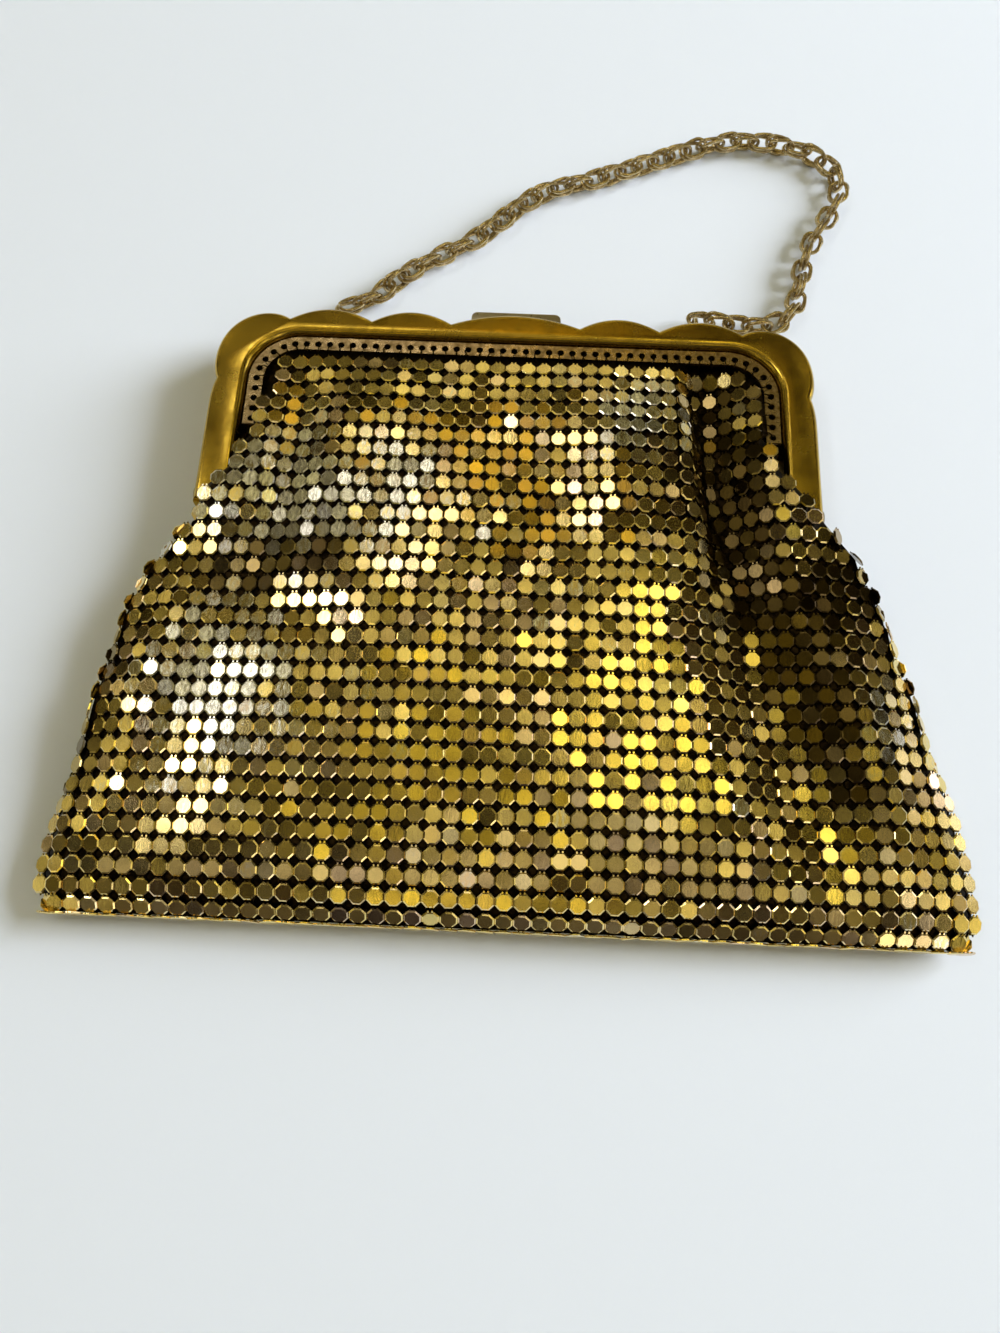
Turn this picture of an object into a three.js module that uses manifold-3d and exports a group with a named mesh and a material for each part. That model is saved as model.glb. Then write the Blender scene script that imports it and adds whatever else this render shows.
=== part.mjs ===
// Metal mesh purse, lying closed on its back with its chain handle laid out behind the frame.
// Millimetres, +Z up. It is drawn with the hinge line on y = 0, the middle of the frame on x = 0
// and the floor on z = 0. The frame points to +Y and the mesh bag to -Y.

import * as THREE from 'three';
import { mergeVertices } from 'three/addons/utils/BufferGeometryUtils.js';
import Module from 'manifold-3d';

const wasm = await Module();
wasm.setup();

// Gap between neighbouring pieces that are not soldered
const clearance = 0.3;

// Frame: two scalloped halves, one over the other
const frameWidth = 133;
const armWidth = 7.6;
const frameRise = 39.1;
const barWidth = 4.2;
const lobeRise = 2.8;
const cornerLobeRise = 3.4;
const innerCornerRadius = 11.5;
const notchDepth = 0.9;
const notchBelowCorner = 0.8;
const notchRun = 7.6;
const cornerLobeFoot = 4.6;
const cornerLobeLean = 5.3;
const halfDepth = 5.6;
const faceRounding = 1.8;
const faceRoundingInset = 1.5;

// Hinges at the ends of the arms
const leafRadius = 3.6;
const pinRadius = 1.1;
const pinHeadRadius = 1.9;
const pinHeadThickness = 0.8;

// Perforated strips that the mesh hangs from
const stripWidth = 3.2;
const stripThickness = 0.8;
const stripBelowFace = 1.6;
const stripFootRise = 16;
const holeInset = 1.76;
const holeDiameter = 1.5;
const holePitch = 2.6;
const holeSides = 4;

// Lift catch in the middle of the top bar
const catchWidth = 20.6;
const catchThickness = 2.4;
const catchStandOut = 3.7;
const catchSeat = 1.6;
const catchCornerRadius = 1.4;

// Mesh bag
const bagWall = 1.5;
const bagDrop = 89;
const bottomWidth = 180.4;
const bellyDepth = 15.5;
const mouthCornerRadius = 7.5;
const drapePastArm = 2.1;
const sideStep = 0.05;
const frontColumns = 28;
const backColumns = 8;

// Lugs, jump rings and chain
const lugRadius = 3.4;
const lugWire = 1.2;
const lugLevel = 3.3;
const jumpRingRadius = 2.7;
const jumpRingWire = 1.0;
const linkWire = 1.3;
const linkWidth = 5.0;
const linkPitch = 4.7;
const linkBite = 0.08;

// Cusps between the scallops, as shares of the frame's half width from its middle
const cusps = [0.217, 0.486, 0.764];

// Upper part of the bag, from its top edge down to the hinge line. rise: share of the height of
// the top edge. spread: 0 inside the strips, 1 past the arms. over: 0 level with the strip, 1 over
// the arm's face. puff: how far the middle stands above the sides, as a share of the belly's depth.
const flapSections = [
  { rise: 1.0, spread: 0, over: 0, puff: 0 },
  { rise: 0.95, spread: 0, over: 0.25, puff: 0.03 },
  { rise: 0.88, spread: 0, over: 0.4, puff: 0.06 },
  { rise: 0.75, spread: 0, over: 0.55, puff: 0.07 },
  { rise: 0.6, spread: 0, over: 0.75, puff: 0.08 },
  { rise: 0.45, spread: 0, over: 1, puff: 0.08 },
  { rise: 0.3, spread: 0.12, over: 1, puff: 0.08 },
  { rise: 0.15, spread: 0.38, over: 1, puff: 0.08 },
  { rise: 0, spread: 0.6, over: 1, puff: 0.09 },
];

// Lower part of the bag. drop: share of the bag's drop. half and shift: half width and sideways
// shift of the middle, as shares of half the bottom's width. crest, side and under: heights of
// the front's middle, of the front at the sides and of the back at the sides, and lift: height of
// the back's middle, all as shares of the belly's depth.
const sackSections = [
  { drop: 0.05, half: 0.777, shift: 0.02, crest: 0.95, side: 0.87, under: 0.0, lift: 0 },
  { drop: 0.12, half: 0.822, shift: 0.024, crest: 0.97, side: 0.66, under: 0.1, lift: 0 },
  { drop: 0.25, half: 0.878, shift: 0.012, crest: 0.98, side: 0.54, under: 0.1, lift: 0 },
  { drop: 0.4, half: 0.914, shift: 0.014, crest: 0.96, side: 0.5, under: 0.1, lift: 0 },
  { drop: 0.55, half: 0.947, shift: 0.021, crest: 0.92, side: 0.48, under: 0.1, lift: 0 },
  { drop: 0.71, half: 0.975, shift: 0.026, crest: 0.84, side: 0.45, under: 0.1, lift: 0 },
  { drop: 0.85, half: 0.993, shift: 0.029, crest: 0.74, side: 0.43, under: 0.1, lift: 0 },
  { drop: 0.945, half: 1, shift: 0.031, crest: 0.62, side: 0.4, under: 0.11, lift: 0 },
  { drop: 0.982, half: 0.99, shift: 0.031, crest: 0.49, side: 0.34, under: 0.14, lift: 0.06 },
  { drop: 1, half: 0.975, shift: 0.031, crest: 0.33, side: 0.29, under: 0.19, lift: 0.17 },
];

// How the bag's section is shaped. straight: power by which the columns spread past the arms.
// crown, fade and flat: powers by which the front falls to its sides, the folds die out there and
// the back rises to its sides. End of a fold: share of its depth's wave that is cut off at each
// end, and the wave's power. Room: how fast folds start below the mouth and above the bottom.
const sectionForm = { straight: 2, crown: 4, fade: 10, flat: 8 };
const foldForm = { endCut: 0.1, endPower: 0.7, roomAtMouth: 2.5, roomAtBottom: 6 };

// Main folds of the front. Each runs through three points: across as a share of half the bottom's
// width, along as a share of the bag's drop from the hinge line. depth: share of the belly's
// depth, negative for a ridge. reach: how far it spreads to each side, a share of the drop.
const folds = [
  { across: [0.445, 0.475, 0.51], along: [0.42, 0.1, -0.2], depth: 0.5, reach: 0.105 },
  { across: [0.5, 0.56, 0.68], along: [-0.15, -0.42, -0.78], depth: 0.24, reach: 0.15 },
  { across: [-0.53, -0.49, -0.55], along: [0.36, 0.08, -0.2], depth: 0.2, reach: 0.08 },
  { across: [-0.8, -0.62, -0.38], along: [-0.2, -0.25, -0.36], depth: 0.12, reach: 0.11 },
  { across: [-0.74, -0.8, -0.84], along: [-0.24, -0.5, -0.88], depth: -0.2, reach: 0.12 },
  { across: [0.78, 0.82, 0.87], along: [-0.3, -0.56, -0.9], depth: -0.22, reach: 0.12 },
  { across: [0.76, 0.82, 0.86], along: [-0.09, -0.16, -0.26], depth: 0.13, reach: 0.05 },
  { across: [0.2, 0.26, 0.28], along: [0.3, 0.02, -0.3], depth: -0.08, reach: 0.16 },
];

// Chosen points of the chain from the left lug to the right one, across and along the frame
const chainRoute = [
  [-37.4, 54.4], [-33.5, 56.4], [-30.1, 60.2], [-23.8, 65.8], [-17.5, 69.9], [-10.2, 74.8],
  [-3.7, 81.4], [2, 87], [7.8, 90.7], [15.5, 93.2], [22.2, 95.8], [29.2, 98.9],
  [41.3, 104.2], [47.4, 106.6], [54.5, 108], [63.1, 107.4], [70.6, 105.2], [75.6, 101.8],
  [78.2, 96.8], [78, 90.6], [74.8, 84.3], [71, 77.7], [68.4, 70.4], [66.8, 63.3],
  [65.6, 57.6], [62, 53.2], [56.6, 51.9], [50.6, 52.1], [45.6, 53],
];

// Places that follow from the sizes above
const halfWidth = frameWidth / 2;
const innerHalf = halfWidth - armWidth;
const cuspRise = frameRise + barWidth;
const frameDepth = 2 * halfDepth + clearance;
const midLevel = frameDepth / 2;
const stripOuterHalf = innerHalf - clearance;
const stripTop = frameRise - clearance;
const stripCornerRadius = innerCornerRadius - clearance;
const mouthHalf = stripOuterHalf - stripWidth - clearance;
const mouthTop = stripTop - stripWidth - clearance;
const frontStripTop = frameDepth - stripBelowFace;
const bottomHalf = bottomWidth / 2;
const armRelief = bagWall + clearance;

const gold = new THREE.MeshStandardMaterial({ color: 0xa87b1e, roughness: 0.22, metalness: 1 });
const meshGold = new THREE.MeshStandardMaterial({ color: 0xc9a23c, roughness: 0.3, metalness: 1 });
const paleGold = new THREE.MeshStandardMaterial({ color: 0xcdb880, roughness: 0.25, metalness: 1 });
const steel = new THREE.MeshStandardMaterial({ color: 0x8d8168, roughness: 0.35, metalness: 1 });

function toSolid(geometry) {
  const bare = geometry.index ? geometry.toNonIndexed() : geometry.clone();
  bare.deleteAttribute('normal');
  bare.deleteAttribute('uv');
  const merged = mergeVertices(bare, 1e-4);
  return new wasm.Manifold(new wasm.Mesh({
    numProp: 3,
    vertProperties: merged.attributes.position.array,
    triVerts: new Uint32Array(merged.index.array),
  }));
}

function toGeometry(solid) {
  const mesh = solid.getMesh();
  const geometry = new THREE.BufferGeometry();
  geometry.setAttribute('position', new THREE.BufferAttribute(mesh.vertProperties, mesh.numProp));
  geometry.setIndex(new THREE.BufferAttribute(mesh.triVerts, 1));
  return geometry;
}

function part(name, solid, material) {
  const geometry = toGeometry(solid);
  geometry.computeVertexNormals();
  const mesh = new THREE.Mesh(geometry, material);
  mesh.name = name;
  return mesh;
}

function block(lowX, lowY, lowZ, highX, highY, highZ) {
  const box = new THREE.BoxGeometry(highX - lowX, highY - lowY, highZ - lowZ);
  box.translate((lowX + highX) / 2, (lowY + highY) / 2, (lowZ + highZ) / 2);
  return toSolid(box);
}

function rodAlongX(radius, lowX, highX, y, z) {
  const rod = new THREE.CylinderGeometry(radius, radius, highX - lowX, 12);
  rod.rotateZ(Math.PI / 2);
  rod.translate((lowX + highX) / 2, y, z);
  return toSolid(rod);
}

// Outline of the whole frame, seen from the front: an arch with five scallops and two corner
// lobes along its top, and a rounded opening
function frameOutline() {
  const shape = new THREE.Shape();
  const cuspX = cusps.map((share) => share * halfWidth);
  const lobeTop = cuspRise + 2 * lobeRise;
  const notchX = halfWidth - notchDepth;
  const notchY = frameRise - innerCornerRadius - notchBelowCorner;
  const lobeFoot = notchY + cornerLobeFoot;
  const shoulder = cuspRise + cornerLobeRise;
  shape.moveTo(innerHalf, -leafRadius);
  shape.lineTo(halfWidth, -leafRadius);
  shape.lineTo(halfWidth, notchY - notchRun);
  shape.quadraticCurveTo(halfWidth, notchY - notchRun / 3, notchX, notchY);
  shape.quadraticCurveTo(halfWidth, notchY + cornerLobeFoot / 2, halfWidth, lobeFoot);
  shape.bezierCurveTo(halfWidth, cuspRise, cuspX[2] + cornerLobeLean, shoulder, cuspX[2], cuspRise);
  const stops = [...cuspX].reverse().concat(cuspX.map((x) => -x));
  for (let i = 1; i < stops.length; i += 1) {
    shape.quadraticCurveTo((stops[i - 1] + stops[i]) / 2, lobeTop, stops[i], cuspRise);
  }
  shape.bezierCurveTo(
    -cuspX[2] - cornerLobeLean, shoulder, -halfWidth, cuspRise, -halfWidth, lobeFoot);
  shape.quadraticCurveTo(-halfWidth, notchY + cornerLobeFoot / 2, -notchX, notchY);
  shape.quadraticCurveTo(-halfWidth, notchY - notchRun / 3, -halfWidth, notchY - notchRun);
  shape.lineTo(-halfWidth, -leafRadius);
  shape.lineTo(-innerHalf, -leafRadius);
  const cornerY = frameRise - innerCornerRadius;
  const cornerX = innerHalf - innerCornerRadius;
  shape.absarc(-cornerX, cornerY, innerCornerRadius, Math.PI, Math.PI / 2, true);
  shape.absarc(cornerX, cornerY, innerCornerRadius, Math.PI / 2, 0, true);
  shape.closePath();
  return shape;
}

// Both halves as one bar with rounded faces, which is cut apart along the middle
function wholeFrame() {
  const bar = new THREE.ExtrudeGeometry(frameOutline(), {
    depth: frameDepth - 2 * faceRounding,
    bevelEnabled: true,
    bevelThickness: faceRounding,
    bevelSize: faceRoundingInset,
    bevelOffset: -faceRoundingInset,
    bevelSegments: 2,
    curveSegments: 5,
  });
  bar.translate(0, 0, faceRounding);
  return toSolid(bar);
}

// The front half's leaf sits on the inner side of each arm, the back half's on the outer side
function hingeSpans(side) {
  const middle = innerHalf + armWidth / 2;
  const inner = [innerHalf, middle - clearance / 2];
  const outer = [middle + clearance / 2, halfWidth];
  const place = ([low, high]) => (side > 0 ? [low, high] : [-high, -low]);
  return { inner: place(inner), outer: place(outer) };
}

function frameHalf(isFront) {
  const far = frameWidth;
  const low = isFront ? midLevel + clearance / 2 : -far;
  const high = isFront ? far : midLevel - clearance / 2;
  let half = wholeFrame().intersect(block(-far, -far, low, far, far, high));
  for (const side of [-1, 1]) {
    const spans = hingeSpans(side);
    const own = isFront ? spans.inner : spans.outer;
    const other = isFront ? spans.outer : spans.inner;
    half = half.subtract(leafRoom(other[0] - clearance, other[1] + clearance, isFront));
    half = half.add(rodAlongX(leafRadius, own[0], own[1], 0, midLevel));
    half = half.subtract(rodAlongX(pinRadius + clearance, own[0] - 1, own[1] + 1, 0, midLevel));
  }
  return half.subtract(catchPocket());
}

// Room for the other half's leaf. The front arm's face passes over it, the back arm ends above it.
function leafRoom(low, high, isFront) {
  const room = leafRadius + clearance;
  if (isFront) return rodAlongX(room, low, high, 0, midLevel);
  return block(low, -frameWidth, -frameWidth, high, room, frameWidth);
}

// Rounded plate held between the halves, which stands out above the middle scallop
function catchPlate(grow) {
  const half = catchWidth / 2 + grow;
  const bottom = frameRise + catchSeat - grow;
  const top = cuspRise + lobeRise + catchStandOut + grow;
  const r = catchCornerRadius;
  const shape = new THREE.Shape();
  shape.moveTo(-half, bottom);
  shape.lineTo(half, bottom);
  shape.lineTo(half, top - r);
  shape.absarc(half - r, top - r, r, 0, Math.PI / 2, false);
  shape.absarc(-half + r, top - r, r, Math.PI / 2, Math.PI, false);
  shape.closePath();
  const thickness = catchThickness + 2 * grow;
  const plate = new THREE.ExtrudeGeometry(shape, {
    depth: thickness, bevelEnabled: false, curveSegments: 3,
  });
  plate.translate(0, 0, midLevel - thickness / 2);
  return toSolid(plate);
}

function catchPocket() {
  return catchPlate(clearance);
}

function frameFront() {
  return frameHalf(true);
}

// The back half carries the two soldered lugs, and its arms are thinned where the mesh passes
// under them
function frameBack() {
  const far = frameWidth;
  let half = frameHalf(false);
  half = half.subtract(block(-far, -far, -far, far, stripFootRise + clearance, armRelief));
  for (const side of [-1, 1]) {
    const lug = new THREE.TorusGeometry(lugRadius, lugWire / 2, 6, 14);
    lug.translate(side * lugX(), lugWireRise() - lugRadius, lugLevel);
    half = half.add(toSolid(lug));
  }
  return half;
}

// The lugs stand behind the middle of the outer scallops
function lugX() {
  return (cusps[1] + cusps[2]) / 2 * halfWidth;
}

// Height of the lug's wire above the hinge line, so that the jump ring's wire fits under it
function lugWireRise() {
  return cuspRise + lobeRise + 2 * clearance + jumpRingWire + lugWire / 2;
}

function hingePin(side) {
  const low = innerHalf - clearance;
  const high = halfWidth + clearance;
  const profile = [
    [0, low - pinHeadThickness], [pinHeadRadius, low - pinHeadThickness], [pinHeadRadius, low],
    [pinRadius, low], [pinRadius, high], [pinHeadRadius, high],
    [pinHeadRadius, high + pinHeadThickness], [0, high + pinHeadThickness],
  ].map(([radius, along]) => new THREE.Vector2(radius, along));
  const pin = new THREE.LatheGeometry(profile, 12);
  pin.rotateZ(-Math.PI / 2);
  if (side < 0) pin.rotateZ(Math.PI);
  pin.translate(0, 0, midLevel);
  return toSolid(pin);
}

// Point and outward direction on an arch inside the frame's opening, a distance along it from its
// left foot. The arch lies a given inset inside the strip's outer edge.
function archPoint(inset, distance) {
  const radius = stripCornerRadius - inset;
  const cornerX = stripOuterHalf - stripCornerRadius;
  const cornerY = stripTop - stripCornerRadius;
  const leg = cornerY - stripFootRise;
  const arc = radius * Math.PI / 2;
  const top = 2 * cornerX;
  if (distance < leg) return [-cornerX - radius, stripFootRise + distance];
  if (distance < leg + arc) {
    const angle = Math.PI - (distance - leg) / radius;
    return [-cornerX + radius * Math.cos(angle), cornerY + radius * Math.sin(angle)];
  }
  if (distance < leg + arc + top) return [-cornerX + distance - leg - arc, cornerY + radius];
  if (distance < leg + 2 * arc + top) {
    const angle = Math.PI / 2 - (distance - leg - arc - top) / radius;
    return [cornerX + radius * Math.cos(angle), cornerY + radius * Math.sin(angle)];
  }
  return [cornerX + radius, cornerY - (distance - leg - 2 * arc - top)];
}

function archLength(inset) {
  const radius = stripCornerRadius - inset;
  const leg = stripTop - stripCornerRadius - stripFootRise;
  return 2 * leg + Math.PI * radius + 2 * (stripOuterHalf - stripCornerRadius);
}

function meshStrip(topLevel) {
  const cornerX = stripOuterHalf - stripCornerRadius;
  const cornerY = stripTop - stripCornerRadius;
  const inner = stripCornerRadius - stripWidth;
  const shape = new THREE.Shape();
  shape.moveTo(cornerX + inner, stripFootRise);
  shape.lineTo(cornerX + stripCornerRadius, stripFootRise);
  shape.absarc(cornerX, cornerY, stripCornerRadius, 0, Math.PI / 2, false);
  shape.absarc(-cornerX, cornerY, stripCornerRadius, Math.PI / 2, Math.PI, false);
  shape.lineTo(-cornerX - stripCornerRadius, stripFootRise);
  shape.lineTo(-cornerX - inner, stripFootRise);
  shape.absarc(-cornerX, cornerY, inner, Math.PI, Math.PI / 2, true);
  shape.absarc(cornerX, cornerY, inner, Math.PI / 2, 0, true);
  shape.closePath();
  const length = archLength(holeInset);
  const count = Math.floor(length / holePitch);
  const start = (length - (count - 1) * holePitch) / 2;
  for (let i = 0; i < count; i += 1) {
    const [x, y] = archPoint(holeInset, start + i * holePitch);
    const corners = [];
    for (let k = 0; k < holeSides; k += 1) {
      const angle = 2 * Math.PI * k / holeSides;
      const r = holeDiameter / 2;
      corners.push(new THREE.Vector2(x + r * Math.cos(angle), y + r * Math.sin(angle)));
    }
    shape.holes.push(new THREE.Path(corners));
  }
  const strip = new THREE.ExtrudeGeometry(shape, {
    depth: stripThickness, bevelEnabled: false, curveSegments: 5,
  });
  strip.translate(0, 0, topLevel - stripThickness);
  return toSolid(strip);
}

// How far the front is pushed down by the folds at a point. A fold fades out towards its two ends
// and to both sides.
function foldDepth(x, y) {
  let total = 0;
  for (const fold of folds) {
    const points = fold.across.map((share, i) => [share * bottomHalf, fold.along[i] * bagDrop]);
    const reach = fold.reach * bagDrop;
    let nearest = Infinity;
    let place = 0;
    for (let i = 0; i < 2; i += 1) {
      const [ax, ay] = points[i];
      const dx = points[i + 1][0] - ax;
      const dy = points[i + 1][1] - ay;
      const t = THREE.MathUtils.clamp(((x - ax) * dx + (y - ay) * dy) / (dx * dx + dy * dy), 0, 1);
      const distance = Math.hypot(x - ax - t * dx, y - ay - t * dy);
      if (distance < nearest) {
        nearest = distance;
        place = (i + t) / 2;
      }
    }
    if (nearest < reach) {
      const sideways = Math.cos(nearest / reach * Math.PI / 2) ** 2;
      const along = foldForm.endCut + (1 - 2 * foldForm.endCut) * place;
      const endwise = Math.sin(Math.PI * along) ** foldForm.endPower;
      total += fold.depth * bellyDepth * sideways * endwise;
    }
  }
  return total;
}

// Each section of the bag: its y, its middle and half width, and its heights
function bagSections() {
  const overArm = frameDepth + clearance + bagWall;
  const flaps = flapSections.map((row) => {
    const y = row.rise * mouthTop;
    const corner = Math.max(0, y - (mouthTop - mouthCornerRadius));
    const rounding = mouthCornerRadius - Math.sqrt(mouthCornerRadius ** 2 - corner ** 2);
    const drape = row.spread * (halfWidth + drapePastArm - mouthHalf);
    const side = THREE.MathUtils.lerp(frontStripTop, overArm, row.over);
    const level = THREE.MathUtils.lerp(stripBelowFace, 0, row.over);
    return {
      y, middle: 0, half: mouthHalf - rounding + drape, crest: side + row.puff * bellyDepth,
      side, under: level, lift: level, open: true,
    };
  });
  const sack = sackSections.map((row, i) => ({
    y: -row.drop * bagDrop,
    middle: row.shift * bottomHalf,
    half: row.half * bottomHalf,
    crest: row.crest * bellyDepth,
    side: row.side * bellyDepth,
    under: row.under * bellyDepth,
    lift: row.lift * bellyDepth,
    open: i === 0,
  }));
  return flaps.concat(sack);
}

// Front and back heights of a section at a share of its half width. The columns run nearly
// straight in the middle, so that they follow the folds, and spread towards the sides.
function bagHeights(section, share) {
  const inner = innerHalf + drapePastArm;
  const side = Math.abs(share);
  const x = section.middle + share * (inner + (section.half - inner) * side ** sectionForm.straight);
  const crown = 1 - side ** sectionForm.crown;
  const fade = 1 - side ** sectionForm.fade;
  const top = section.side + (section.crest - section.side) * crown
    - foldDepth(x, section.y) * fade * foldRoom(section);
  const under = section.under + (section.lift - section.under) * (1 - side ** sectionForm.flat);
  return { x, top, under };
}

// Folds die out where the front is held by the strip and round the bottom edge
function foldRoom(section) {
  const fromTop = (mouthTop - section.y) / mouthTop;
  const fromBottom = (section.y + bagDrop) / bagDrop;
  return Math.min(1, foldForm.roomAtMouth * fromTop) * Math.min(1, foldForm.roomAtBottom * fromBottom);
}

// Closed body through rows of points: each row has a top line and an under line, left to right,
// and each line has the same count of points in every row
function loftedBody(rows) {
  const topCount = rows[0].top.length;
  const underCount = rows[0].under.length;
  const stride = topCount + underCount;
  const positions = rows.flatMap((row) => [...row.top, ...row.under].flat());
  const index = [];
  const quad = (a, b, c, d) => index.push(a, b, c, a, c, d);
  const top = (row, column) => row * stride + column;
  const under = (row, column) => row * stride + topCount + column;
  for (let r = 0; r + 1 < rows.length; r += 1) {
    for (let c = 0; c + 1 < topCount; c += 1) {
      quad(top(r, c), top(r + 1, c), top(r + 1, c + 1), top(r, c + 1));
    }
    for (let c = 0; c + 1 < underCount; c += 1) {
      quad(under(r, c), under(r, c + 1), under(r + 1, c + 1), under(r + 1, c));
    }
    const [t, u] = [topCount - 1, underCount - 1];
    quad(top(r, 0), under(r, 0), under(r + 1, 0), top(r + 1, 0));
    quad(top(r, t), top(r + 1, t), under(r + 1, u), under(r, u));
  }
  index.push(...endCap(rows, 0, top, under, false));
  index.push(...endCap(rows, rows.length - 1, top, under, true));
  const geometry = new THREE.BufferGeometry();
  geometry.setAttribute('position', new THREE.Float32BufferAttribute(positions, 3));
  geometry.setIndex(index);
  return toSolid(geometry);
}

// Triangles between the top line and the under line of a row, taken from left to right
function endCap(rows, r, top, under, flip) {
  const line = rows[r];
  const triangles = [];
  let t = 0;
  let u = 0;
  while (t + 1 < line.top.length || u + 1 < line.under.length) {
    const stepTop = u + 1 === line.under.length
      || (t + 1 < line.top.length && line.top[t + 1][0] <= line.under[u + 1][0]);
    const corners = stepTop
      ? [top(r, t), top(r, t + 1), under(r, u)]
      : [top(r, t), under(r, u + 1), under(r, u)];
    triangles.push(...(flip ? corners.reverse() : corners));
    if (stepTop) t += 1;
    else u += 1;
  }
  return triangles;
}

function columnShares(count) {
  return Array.from({ length: count + 1 }, (_, i) => 2 * i / count - 1);
}

function bagOuterRow(section) {
  const top = columnShares(frontColumns).map((share) => {
    const at = bagHeights(section, share);
    return [at.x, section.y, at.top];
  });
  const under = columnShares(backColumns).map((share) => {
    const at = bagHeights(section, share);
    return [at.x, section.y, at.under];
  });
  return { top, under };
}

// The hollow follows the outside one wall further in. Beside the arms it runs out past the sides,
// so that the front and the back hang apart there.
function bagInnerRow(section, y, open) {
  const inset = open ? 0 : (bagWall + clearance) / section.half;
  const held = (share) => bagHeights(section, THREE.MathUtils.clamp(share, inset - 1, 1 - inset));
  const top = columnShares(frontColumns).map(held).map((at) => [at.x, y, at.top - bagWall]);
  const under = columnShares(backColumns).map(held).map((at) => [at.x, y, at.under + bagWall]);
  const past = open ? 2 * armWidth : sideStep;
  for (const line of [top, under]) {
    const first = line[0];
    const end = line[line.length - 1];
    line.unshift([first[0] - past, y, first[2]]);
    line.push([end[0] + past, y, end[2]]);
  }
  return { top, under };
}

function meshBag() {
  const sections = bagSections();
  const outer = loftedBody(sections.map(bagOuterRow));
  const inner = [];
  const mouth = sections[0];
  inner.push(bagInnerRow(mouth, mouth.y + armWidth, true));
  for (const section of sections) {
    const room = section.crest - section.lift - 2 * bagWall;
    if (section.y < -bagDrop + bagWall || room < bagWall) continue;
    inner.push(bagInnerRow(section, section.y, section.open));
    if (section === sections.findLast((one) => one.open)) {
      inner.push(bagInnerRow(section, section.y - clearance, false));
    }
  }
  return outer.subtract(loftedBody(inner));
}

function jumpRing(side) {
  const ring = new THREE.TorusGeometry(jumpRingRadius, jumpRingWire / 2, 6, 12);
  ring.rotateY(Math.PI / 2);
  ring.translate(side * lugX(), jumpRingMiddle(), lugLevel);
  return toSolid(ring);
}

function jumpRingMiddle() {
  const nearWire = lugWireRise() - (lugWire + jumpRingWire) / 2 - clearance;
  return nearWire + jumpRingRadius;
}

// One oval link of round wire, with its long way along X. The negative wire radius turns the
// wire's section so that an edge of it, not a flat, faces the middle of the link.
function chainLink(pitch, reach) {
  const bend = (linkWidth - linkWire) / 2;
  const link = new THREE.TorusGeometry(bend, -linkWire / 2, 5, 10);
  const stretch = pitch / 2 + reach - bend;
  const position = link.attributes.position;
  for (let i = 0; i < position.count; i += 1) {
    position.setX(i, position.getX(i) + Math.sign(position.getX(i)) * stretch);
  }
  return link;
}

// The chain lies on the floor and climbs to the jump ring at each end. Its links stand flat and
// upright in turn and touch, so that they make one body.
function chain() {
  const reach = (linkWire - linkBite) / 2;
  const floorLevel = linkWidth / 2;
  const ringFar = jumpRingMiddle() + jumpRingRadius;
  const hook = (linkWire + jumpRingWire) / 2 + clearance - reach;
  const ends = [-1, 1].map((side) => new THREE.Vector3(side * lugX(), ringFar, lugLevel));
  const chosen = chainRoute.map(([x, y]) => new THREE.Vector3(x, y, floorLevel));
  const near = [chosen[0], chosen[chosen.length - 1]];
  const hooked = ends.map((end, i) => {
    const away = near[i].clone().sub(end).setZ(0).normalize();
    return end.clone().addScaledVector(away, -hook);
  });
  const curve = new THREE.CatmullRomCurve3([hooked[0], ...chosen, hooked[1]], false, 'centripetal');
  const length = curve.getLength();
  const count = 2 * Math.round((length / linkPitch - 1) / 2) + 1;
  curve.arcLengthDivisions = 20 * count;
  curve.updateArcLengths();
  const pitch = curve.getLength() / count;
  const up = new THREE.Vector3(0, 0, 1);
  const links = [];
  for (let i = 0; i < count; i += 1) {
    const from = curve.getPointAt(i / count);
    const to = curve.getPointAt((i + 1) / count);
    const along = to.clone().sub(from).normalize();
    const across = up.clone().cross(along).normalize();
    const above = along.clone().cross(across);
    const turn = i % 2 === 0 ? [across, above] : [above, across.clone().negate()];
    const link = chainLink(pitch, reach);
    link.applyMatrix4(new THREE.Matrix4().makeBasis(along, ...turn));
    const middle = from.add(to).multiplyScalar(0.5);
    link.translate(middle.x, middle.y, middle.z);
    links.push(toSolid(link));
  }
  return wasm.Manifold.union(links);
}

const purse = new THREE.Group();
purse.add(
  part('frame_front', frameFront(), gold),
  part('frame_back', frameBack(), gold),
  part('front_mesh_strip', meshStrip(frontStripTop), gold),
  part('back_mesh_strip', meshStrip(stripBelowFace + stripThickness), gold),
  part('mesh_bag', meshBag(), meshGold),
  part('lift_catch', catchPlate(0), steel),
  part('left_hinge_pin', hingePin(-1), steel),
  part('right_hinge_pin', hingePin(1), steel),
  part('left_jump_ring', jumpRing(-1), paleGold),
  part('right_jump_ring', jumpRing(1), paleGold),
  part('chain', chain(), paleGold),
);

// The origin is the middle of the whole thing's footprint, on the floor
const reach = new THREE.Box3().setFromObject(purse);
const middle = reach.getCenter(new THREE.Vector3());
purse.position.set(-middle.x, -middle.y, -reach.min.z);

const assembly = new THREE.Group();
assembly.add(purse);

export default assembly;
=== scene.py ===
"""Looks of the metal mesh purse: linked gold plates, scalloped frame, chain, floor and light."""

import math

import bmesh
import bpy
import numpy as np
from mathutils import Matrix, Vector


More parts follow.
